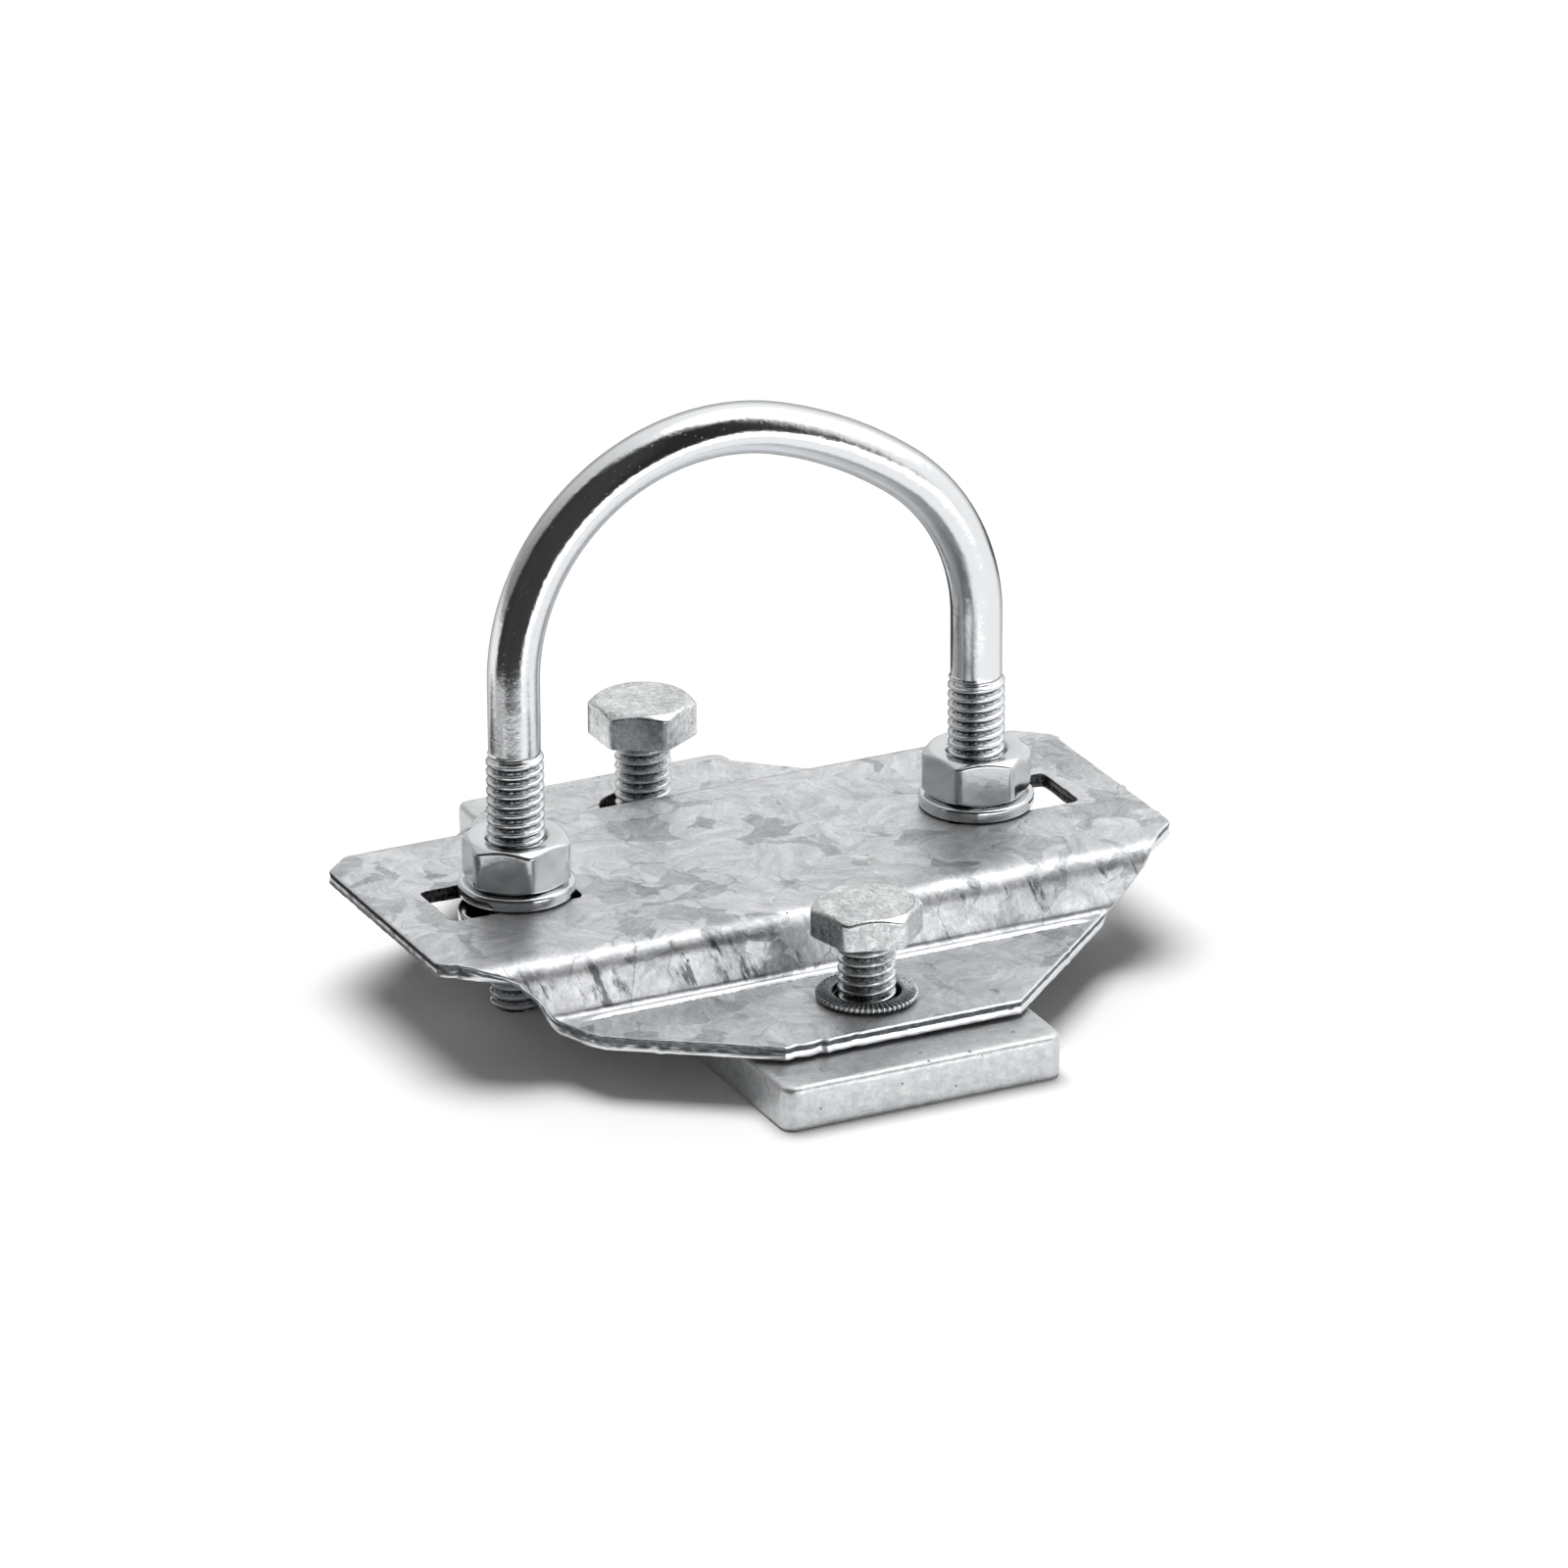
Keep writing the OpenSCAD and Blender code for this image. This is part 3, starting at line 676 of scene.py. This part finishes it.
finish_piece(make_bolt("front_hex_bolt", *FRONT_BOLT, 2.6, 5.8, 43), "zinc_fastener", "clamp_bolt_front")
finish_piece(make_bolt("rear_hex_bolt", *REAR_BOLT, 4.0, 6.7, 31), "zinc_fastener", "clamp_bolt_rear")

# %% [markdown]
# ## Washers
# A flat washer is punched, so its upper rim is rolled over and its lower rim is sharp. A lock
# washer has a ring of small ridges that bite: each is a wave round the ring that grows from the
# bore to the rim.

# %% Flat washers
under_band = BAND_TOP - SHEET - WASHER_T
profile = [  # radius, height
    (5.4, 0), (9.5, 0), (9.68, 0.06), (9.82, 0.22), (9.93, 0.4), (10, 0.65), (10, 1.85), (9.93, 2.15),
    (9.75, 2.38), (9.45, 2.48), (9.0, 2.5), (5.8, 2.5), (5.5, 2.45), (5.35, 2.3), (5.3, 2.0), (5.3, 0.2),
]
for name, x, z in (("upper_washer_left", LEG_X[0], BAND_TOP), ("upper_washer_right", LEG_X[1], BAND_TOP),
                   ("lower_washer_left", LEG_X[0], under_band), ("lower_washer_right", LEG_X[1], under_band)):
    points, faces = bands([round_ring(x, 0, z + h, r) for r, h in profile], close=True)
    # The lower rim, where the washer meets the plate, takes painted shade
    kinds = [1 if 1 <= i // HEX_POINTS <= 3 else 0 for i in range(len(faces))]
    finish_piece(make_piece(name + "_ring", points, faces, [plated_nut, shade_painted_zinc], kinds), "zinc_fastener", name)

# %% Lock washer
TEETH, TOOTH_POINTS = 56, 10
LOCK_PROFILE = [  # radius, height, depth of the notches, height of the ridges
    (5.8, 0.1, 0, 0), (6.1, 0, 0, 0), (7.0, 0.05, 0, 0), (7.8, 0.25, 0, 0.05),
    (8.3, 0.45, 0.05, 0.1), (8.6, 0.55, 0.3, 0.05), (8.7, 0.68, 0.42, 0), (8.7, 0.95, 0.42, 0),
    (8.62, 1.12, 0.36, -0.1), (8.4, 1.26, 0.2, -0.22), (7.9, 1.34, 0, -0.26), (7.0, 1.38, 0, -0.2),
    (6.3, 1.4, 0, -0.08), (6.0, 1.38, 0, 0), (5.84, 1.25, 0, 0), (5.8, 1.0, 0, 0),
]


def make_lock_washer(name, x, y):
    """A ring with radial ridges on both faces and a notched rim."""
    count = TEETH * TOOTH_POINTS
    rings = []
    for r, h, cut, wave in LOCK_PROFILE:
        ring = []
        for i in range(count):
            a = 2 * pi * i / count
            tooth = (0.5 - 0.5 * cos(a * TEETH)) ** 1.5
            rr = r - cut * tooth
            ring.append((x + rr * cos(a), y + rr * sin(a), FLANGE_TOP + h + wave * tooth))
        rings.append(ring)
    points, faces = bands(rings, close=True)
    # The rows round the notched rim take the painted highlight
    kinds = [1 if 5 <= i // count <= 8 else 0 for i in range(len(faces))]
    return make_piece(name, points, faces, [spring_steel, rim_highlight_steel], kinds)


finish_piece(make_lock_washer("lock_washer_ring", *FRONT_BOLT), "dark_spring_steel", "lock_washer_front")

# %% [markdown]
# ## Slabs with soft edges
# The plate and the clamp plates are all slabs: an outline with holes, and an edge that goes
# round from the upper to the lower face. A bevel modifier makes poor corners on such outlines.
# Instead each loop of the outline is repeated in rows, a little further in or down each time,
# and the faces are filled with triangles through a grid of points, so a slab can also be bent.

# %% Slab helpers
def rounded(corners, radius, step=1.0):
    """A dense closed loop through corners, each rounded by radius (a number, or one for each)."""
    loop = []
    n = len(corners)
    for i, c in enumerate(corners):
        r = radius[i] if isinstance(radius, (list, tuple)) else radius
        c = Vector(c)
        before = (Vector(corners[i - 1]) - c).normalized()
        after = (Vector(corners[(i + 1) % n]) - c).normalized()
        half = before.angle(after) / 2
        cut = r / tan(half)
        a, b = c + before * cut, c + after * cut
        middle = c + (before + after).normalized() * (r / sin(half))
        start = atan2(*(a - middle).yx)
        sweep = (atan2(*(b - middle).yx) - start + pi) % (2 * pi) - pi
        arc = max(3, int(abs(sweep) * r / 0.35) + 1)
        for k in range(arc + 1):
            a = start + sweep * k / arc
            loop.append((middle.x + r * cos(a), middle.y + r * sin(a)))
    dense = []
    for i, p in enumerate(loop):
        q = loop[(i + 1) % len(loop)]
        parts = max(1, int((Vector(q) - Vector(p)).length / step))
        dense += [(p[0] + (q[0] - p[0]) * k / parts, p[1] + (q[1] - p[1]) * k / parts) for k in range(parts)]
    return dense


def inset(loop, amount):
    """The loop moved by amount to its left, which is inwards for a counterclockwise outline."""
    moved = []
    n = len(loop)
    for i, p in enumerate(loop):
        a = (Vector(p) - Vector(loop[i - 1])).normalized()
        b = (Vector(loop[(i + 1) % n]) - Vector(p)).normalized()
        left = Vector((-(a + b).y, (a + b).x)).normalized()
        scale = 1 / max(0.5, left.dot(Vector((-a.y, a.x))))
        moved.append((p[0] + left.x * amount * scale, p[1] + left.y * amount * scale))
    return moved


def fill(loops, grid):
    """Triangles inside the first loop and outside the others, through the grid's points."""
    points, edges = [], []
    for loop in loops:
        start = len(points)
        points += [Vector(p) for p in loop]
        edges += [(start + i, start + (i + 1) % len(loop)) for i in range(len(loop))]
    points += [Vector(p) for p in grid]
    out_points, _, triangles = delaunay_2d_cdt(points, edges, [], 0, 1e-5)[:3]
    kept = []
    for t in triangles:
        centre = sum((out_points[v] for v in t), Vector((0, 0))) / 3
        if inside(centre, loops[0]) and not any(inside(centre, hole) for hole in loops[1:]):
            kept.append(t)
    return out_points, kept


def inside(p, loop):
    """Does the point lie within the loop?"""
    found = False
    for i, a in enumerate(loop):
        b = loop[i - 1]
        if (a[1] > p[1]) != (b[1] > p[1]) and p[0] < (b[0] - a[0]) * (p[1] - a[1]) / (b[1] - a[1]) + a[0]:
            found = not found
    return found


def make_slab(name, outline, holes, rows, grid, to_space, materials, hole_kind=None, rough=0.0):
    """A slab. rows holds (inset, depth, material number) from the upper to the lower face.
    The walls of its holes can take a material of their own, and its rim can be rough."""
    points, faces, kinds = [], [], []
    loops = [outline] + [list(reversed(h)) for h in holes]
    for at, flip in ((0, False), (-1, True)):
        borders = [inset(loop, rows[at][0]) for loop in loops]
        keep = [inset(loop, rows[at][0] + 0.6) for loop in loops]
        free = [g for g in grid if inside(g, keep[0]) and not any(inside(g, hole) for hole in keep[1:])]
        flat, triangles = fill(borders, free)
        start = len(points)
        points += [to_space(p[0], p[1], rows[at][1]) for p in flat]
        faces += [[start + v for v in (reversed(t) if flip else t)] for t in triangles]
        kinds += [0] * len(triangles)
    for number, loop in enumerate(loops):
        rings = []
        for i, (amount, depth, _) in enumerate(rows):
            wobble = rough if 1 < i < len(rows) - 2 else 0
            ring = []
            for k, p in enumerate(inset(loop, amount)):
                sway = wobble * 0.7 * (sin(0.41 * k + i) + sin(1.13 * k + 2 * i))
                x, y = p[0] + wobble * random.uniform(-1, 1), p[1] + wobble * random.uniform(-1, 1)
                ring.append(to_space(x, y, depth + sway))
            rings.append(ring)
        wall_points, wall_faces = bands(rings)
        start = len(points)
        points += wall_points
        faces += [[start + v for v in f] for f in wall_faces]
        for row in rows[1:]:
            in_hole = number and row[2] and hole_kind is not None
            kinds += [hole_kind if in_hole else row[2]] * len(loop)
    return make_piece(name, points, faces, materials, kinds)


# %% [markdown]
# ## The bracket plate
# The plate is drawn flat, as its blank was, and every point is then carried round the two bends
# on each side. The middle of the sheet keeps its length, so one straight cut in the flat gives
# the curved corner that shows where the cut crosses the bends.

# %% Bend the sheet
UPPER_R, FOOT_R = UPPER_BEND - SHEET / 2, FOOT_BEND + SHEET / 2  # in the middle of the sheet
WEB_LEN = (BAND_TOP - FLANGE_TOP - (UPPER_R + FOOT_R) * (1 - cos(WEB_ANGLE))) / sin(WEB_ANGLE)
# Along the flat sheet from its middle: ends of the band, upper bend, wall, foot bend and flange
S1 = BAND_Y
S2 = S1 + UPPER_R * WEB_ANGLE
S3 = S2 + WEB_LEN
S4 = S3 + FOOT_R * WEB_ANGLE
S5 = S4 + HALF_W - FOOT_Y


def bend(x, s, depth):
    """Where a point of the flat sheet lies once bent. depth is measured from the upper face."""
    side, s = (1 if s >= 0 else -1), abs(s)
    up = SHEET / 2 - depth
    if s <= S1:
        y, z = s, BAND_TOP - SHEET / 2 + up
    elif s <= S2:
        a = (s - S1) / UPPER_R
        y, z = BAND_Y + (UPPER_R + up) * sin(a), BAND_TOP - UPPER_BEND + (UPPER_R + up) * cos(a)
    elif s <= S3:
        t, a = s - S2, WEB_ANGLE
        y = BAND_Y + (UPPER_R + up) * sin(a) + t * cos(a)
        z = BAND_TOP - UPPER_BEND + (UPPER_R + up) * cos(a) - t * sin(a)
    elif s <= S4:
        a = WEB_ANGLE - (s - S3) / FOOT_R
        y, z = FOOT_Y - (FOOT_R - up) * sin(a), FLANGE_TOP + FOOT_BEND - (FOOT_R - up) * cos(a)
    else:
        y, z = s - S4 + FOOT_Y, FLANGE_TOP - SHEET / 2 + up
        along = min(max((RIDGE_END - abs(x)) / RIDGE_FADE, 0), 1)
        t = (y - FOOT_Y) / RIDGE_W
        if 0 < t < 1 and depth < 0.01:
            z += RIDGE_H * sin(pi * t) * along
    return (x, side * y, z)


print("width of the flat sheet:", round(2 * S5, 1), "mm")

# %% Outline and holes of the flat sheet
END_EDGE, CORNER_SLOPE = 22.0, tan(radians(42.2))
flange_x = HALF_LEN - (S5 - END_EDGE) / CORNER_SLOPE
# The front left corner isn't cut straight: it has a hollow at the bend and a full, round flange
blank = [(HALF_LEN, -END_EDGE), (HALF_LEN, END_EDGE), (flange_x, S5), (-flange_x, S5),
         (-HALF_LEN, END_EDGE + 0.6), (-HALF_LEN, -END_EDGE), (-63.1, -27.4), (-57.6, -29.9), (-53.9, -33.9),
         (-51.0, -40.5), (-48.6, -47.2), (-22.6, -S5), (flange_x, -S5)]
outline = rounded(blank, [0.9, 0.9, 0.6, 0.6, 0.9, 2.4, 3, 2, 2, 4, 9, 0.5, 0.6], 0.6)
holes = []
for x in (-SLOT_X, SLOT_X):
    w, d = SLOT_LEN / 2, SLOT_W / 2
    holes.append(rounded([(x - w, -d), (x + w, -d), (x + w, d), (x - w, d)], SLOT_R))
hole_s = S4 + HOLE_Y - FOOT_Y
for s in (-hole_s, hole_s):
    holes.append([(HOLE_R * cos(2 * pi * i / 72), s + HOLE_R * sin(2 * pi * i / 72)) for i in range(72)])

# The shears left small burrs and nicks: (x, s, mm outwards)
NICKS = [(69, 20.5, 0.45), (69, -4.5, 0.5), (69, -17.5, 0.35), (-66.5, -24.3, -0.5), (-16, -S5, -0.45),
         (-14.4, -S5, 0.25), (-9.5, -S5, -0.3), (-20.5, -S5, -0.3), (30.5, -58, -0.25), (38, -50, 0.2),
         (-40, -53.5, 0.3)]
nicked = []
for p, q in zip(outline, inset(outline, -1.0)):
    size = sum(n * exp(-((p[0] - x) ** 2 + (p[1] - y) ** 2) / 0.4) for x, y, n in NICKS)
    nicked.append((p[0] + (q[0] - p[0]) * size, p[1] + (q[1] - p[1]) * size))
print("points round the outline:", len(nicked))

# %% Fill and bend the sheet
# The grid is fine where the sheet bends, and finest across the ridge
s_lines = []
ridge_end = S4 + RIDGE_W
for a, b, step in ((0, S1, 2.2), (S1, S2, 0.4), (S2, S3, 1.0), (S3, S4 - 0.24, 0.4), (S4 - 0.24, S4, 0.12),
                   (S4, ridge_end, 0.11), (ridge_end, ridge_end + 0.24, 0.12), (ridge_end + 0.24, S5, 2.2)):
    count = max(1, round((b - a) / step))
    s_lines += [a + (b - a) * i / count for i in range(count)]
s_lines = sorted(set([-s for s in s_lines] + s_lines))
grid = [(x * 2.3 + (0.01 if x % 2 else 0), s) for s in s_lines for x in range(-30, 31)]
RIM = [  # inset, depth, material: rolled rim, torn band, flared lower lip
    (0.62, 0, 0), (0.36, 0, 0), (0.18, 0.05, 0), (0.05, 0.16, 2), (0, 0.3, 2), (0.04, 0.5, 1), (0.14, 0.95, 1),
    (0.2, 1.3, 1), (0.14, 1.42, 2), (0.02, 1.95, 2), (0, 2.25, 2), (0.05, 2.42, 2), (0.3, SHEET, 0),
    (0.6, SHEET, 0),
]
random.seed(7)
# The walls of the slots and holes take painted shade
plate = make_slab("pressed_plate", nicked, holes, RIM, grid, bend, [galvanised, torn_edge, smooth_edge, shade_painted_zinc],
                  hole_kind=3, rough=0.045)
finish_piece(plate, "galvanised_sheet", "bracket_plate")

# %% [markdown]
# ## The clamp plates
# Each is cut from rolled bar, whose upper edges are soft and whose corners were knocked round,
# each by its own amount. A bevel would make them all alike, so the rim is rows here as well.

# %% Clamp plates
CLAMP_RIM = [  # inset, depth, material: a soft upper edge and a sharper lower one
    (1.7, 0, 0), (1.25, 0.02, 0), (0.85, 0.1, 0), (0.5, 0.25, 0), (0.24, 0.5, 0), (0.06, 0.85, 0), (0, 1.3, 0),
    (0, 4.0, 0), (0, 6.7, 0), (0, 7.15, 0), (0.1, 7.55, 0), (0.3, 7.8, 0), (0.6, 7.94, 0), (0.95, 8.0, 0),
    (1.3, 8.0, 0),
]


def level(x, y, depth):
    return (x, y, CLAMP_T - depth)


for name, (cx, cy), radii in (("clamp_plate_front", FRONT_BOLT, (2.6, 3.2, 2.6, 2.4)),
                              ("clamp_plate_rear", REAR_BOLT, (2.4, 2.6, 3.0, 2.2))):
    w, d = CLAMP_L / 2, CLAMP_W / 2
    edge = rounded([(cx - w, cy - d), (cx + w, cy - d), (cx + w, cy + d), (cx - w, cy + d)], radii)
    bore = [(cx + 4.85 * cos(2 * pi * i / 64), cy + 4.85 * sin(2 * pi * i / 64)) for i in range(64)]
    grid = [(cx - w + 3.25 * i, cy - d + 3.2 * j) for i in range(17) for j in range(15)]
    slab = make_slab(name + "_bar", edge, [bore], CLAMP_RIM, grid, level, [bar])
    finish_piece(slab, "satin_zinc_bar", name)

# %% [markdown]
# ## Floor, light and reflections
# Bright metal has no colour of its own to show: what it shows is the room. So the studio is
# part of the finish. Photographers stand dark cards close to a shiny part for crisp dark
# stripes, and white strips for thin highlights. A picture of a room could be wrapped round the
# object, but cards are easily moved until each stripe lies where it should. The cards are seen
# only in reflections, and cast no shadow.

# %% Studio helpers
def dull(name, shade, roughness=1.0):
    """Paper or velvet, without any gloss."""
    material = bpy.data.materials.new(name)
    material.use_nodes = True
    tree = material.node_tree
    feed(tree, tree.nodes["Principled BSDF"],
         [("Base Color", colour(shade)), ("Roughness", roughness), ("Specular IOR Level", 0)])
    return material


def studio_piece(name, points, faces, material, met_by=None):
    """A piece of the studio. met_by is the one kind of ray that meets it, or None for all."""
    mesh = bpy.data.meshes.new(name)
    mesh.from_pydata(points, [], faces)
    mesh.materials.append(material)
    made = bpy.data.objects.new(name, mesh)
    bpy.context.scene.collection.objects.link(made)
    for ray in ("camera", "diffuse", "glossy", "transmission", "shadow") if met_by else ():
        setattr(made, "visible_" + ray, ray == met_by)
    print(name, "is met by", met_by or "every", "ray")


def folded(line, low, high):
    """Points and faces of a card that stands along a line of the floor, between two heights."""
    points = [(x, y, z) for x, y in line for z in (low, high)]
    return points, [(2 * i, 2 * i + 2, 2 * i + 3, 2 * i + 1) for i in range(len(line) - 1)]


def level_sheet(corners, z):
    """Points and the face of a sheet with four corners that lies at a height."""
    return [(x, y, z) for x, y in corners], [(0, 1, 2, 3)]


# %% Floor
paper = dull("White background paper", "#fbfbfb", 0.9)
studio_piece("floor", *level_sheet([(-4, -4), (4, -4), (4, 4), (-4, 4)], 0), paper)

# %% [markdown]
# ### Cards and strip
# The three standing cards give the dark stripe down the left leg and over the crown, and the
# darker faces of the hexagons. Two grey cards lie just over the floor, where steep faces look,
# and a low white strip in front gives the line of light along lower edges.

# %% Standing cards
LEFT_LINE = [(-0.2, 0.05), (-0.2, -0.045), (-0.157, -0.065), (-0.101, -0.117), (-0.006, -0.17)]
FRONT_LINE, RIGHT_LINE = [(-0.006, -0.17), (0.08, -0.22)], [(0.08, -0.22), (0.26, -0.28)]
studio_piece("left_card", *folded(LEFT_LINE, 0.0, 0.62), dull("Dark grey velvet", "#464646"), "glossy")
studio_piece("front_card", *folded(FRONT_LINE, 0.062, 0.75), dull("Black velvet", "#303030"), "glossy")
studio_piece("right_card", *folded(RIGHT_LINE, 0.062, 0.5), dull("Charcoal velvet", "#3c3c3c"), "glossy")

# %% Cards on the floor
grey = dull("Grey velvet", "#5a5a5a")
BEHIND = [(-0.03, 0.1), (0.45, 0.1), (0.45, 0.6), (-0.03, 0.6)]
LEFT_OF_IT = [(-0.16, -0.03), (-0.08, -0.03), (-0.05, 0.1), (-0.16, 0.12)]
studio_piece("back_card", *level_sheet(BEHIND, 0.002), grey, "glossy")
studio_piece("left_floor_card", *level_sheet(LEFT_OF_IT, 0.002), grey, "glossy")

# %% White strip
glow = bpy.data.materials.new("White strip light")
glow.use_nodes = True
tree = glow.node_tree
feed(tree, tree.nodes["Principled BSDF"], [("Emission Color", colour("#ffffff")), ("Emission Strength", 2.3)])
STRIP_LINE = [(-0.02, -0.16), (0.08, -0.215), (0.26, -0.275)]
studio_piece("white_strip", *folded(STRIP_LINE, 0.004, 0.06), glow, "glossy")

# %% [markdown]
# ### Flag under the left slot
# The lamp shines through the open end of the left slot and leaves a bright spot in the shadow,
# which the real lighting doesn't. A small flag that only casts shadow closes it.

# %% Flag
UNDER_SLOT = [(-0.061, -0.009), (-0.05, -0.009), (-0.05, 0.009), (-0.061, 0.009)]
studio_piece("slot_flag", *level_sheet(UNDER_SLOT, 0.016), grey, "shadow")

# %% [markdown]
# ### Lamps
# A broad sun overhead, a little behind the front, gives the soft shadow. Its disc would show as
# a hard spot in bright metal, so reflections don't see it. They see a square softbox at the
# right instead, which in turn lights nothing else.

# %% Lamps
overhead = bpy.data.lights.new("overhead_softbox", "SUN")
overhead.angle = radians(42)
overhead.energy = 2.85
lamp = bpy.data.objects.new("overhead_softbox", overhead)
lamp.rotation_euler = Vector((-0.04, -0.3, -1)).to_track_quat("-Z", "Y").to_euler()
lamp.visible_glossy = False
bpy.context.scene.collection.objects.link(lamp)

side = bpy.data.lights.new("right_softbox", "AREA")
side.size = 0.8
side.energy = pi * side.size ** 2 * 0.9
lamp = bpy.data.objects.new("right_softbox", side)
lamp.location = (0.75, -0.15, 0.75)
lamp.rotation_euler = (Vector((0, 0, 0.03)) - lamp.location).to_track_quat("-Z", "Y").to_euler()
lamp.visible_diffuse = False
bpy.context.scene.collection.objects.link(lamp)
print("lamps:", overhead.name, "and", side.name)

# %% [markdown]
# ### Room
# The camera sees plain white, and soft light from all round is dim, so that colours render as
# they are written. Reflections see a pale room instead: darker walls at the left, lighter ones
# at the right, and a skylight overhead to the right, which draws the highlight along the bend.
# It is kept off the point straight above, or flat faces would burn out when seen from above.

# %% Room
world = bpy.data.worlds.new("pale_room")
bpy.context.scene.world = world
world.use_nodes = True
tree = world.node_tree
tree.nodes.clear()
rays = add(tree, "LightPath")
look = add(tree, "TexCoord")
turned, raised = radians(5), radians(35)
bright_side = (cos(turned) * cos(raised), sin(turned) * cos(raised), sin(raised))
toward = add(tree, "VectorMath", [(0, look.outputs["Generated"]), (1, bright_side)], operation="DOT_PRODUCT")
walls = add(tree, "MapRange", [(0, toward.outputs["Value"]), (1, -0.4), (2, 0.7), (3, 0.27), (4, 1.05)])
high = add(tree, "VectorMath", [(0, look.outputs["Generated"]), (1, (0.4, 0, 0.916))],
           operation="DOT_PRODUCT")
skylight = add(tree, "MapRange", [(0, high.outputs["Value"]), (1, 0.925), (2, 0.985), (3, 0), (4, 1)])
room = add(tree, "Mix", [(0, skylight), (2, walls), (3, 3.2)], data_type="FLOAT")
seen = add(tree, "Mix", [(0, rays.outputs["Is Camera Ray"]), (2, 0.19), (3, 1.0)], data_type="FLOAT")
mirrored = add(tree, "Math", [(0, rays.outputs["Is Glossy Ray"]), (1, rays.outputs["Is Transmission Ray"])],
               operation="MAXIMUM")
strength = add(tree, "Mix", [(0, mirrored), (2, seen), (3, room)], data_type="FLOAT")
back = add(tree, "Background", [("Color", (1, 1, 1, 1)), ("Strength", strength)])
add(tree, "OutputWorld", [("Surface", back)])
print("the room's walls are brightest towards", [round(v, 2) for v in bright_side])

# %% [markdown]
# ## Camera
# The place of the camera was worked out from the straight legs, the plate's edges and the round
# washers: it looks down 22.5 degrees from the front left, through a long lens.

# %% Camera
camera_data = bpy.data.cameras.new("camera")
camera = bpy.data.objects.new("camera", camera_data)
bpy.context.scene.collection.objects.link(camera)
bpy.context.scene.camera = camera
camera_data.sensor_width = 36
camera_data.lens = 247.8
camera_data.clip_end = 20
right = Vector((0.89991, -0.43605, -0.00516))
ahead = Vector((0.40108, 0.83228, -0.38268))
upward = right.cross(ahead)
turned = Matrix((right, upward, -ahead)).transposed().to_4x4()
camera.matrix_world = Matrix.Translation((-0.73246, -1.53252, 0.73566)) @ turned
bpy.context.scene.view_settings.view_transform = "Standard"
print("the camera stands", round(camera.matrix_world.translation.length, 2), "m from the origin")
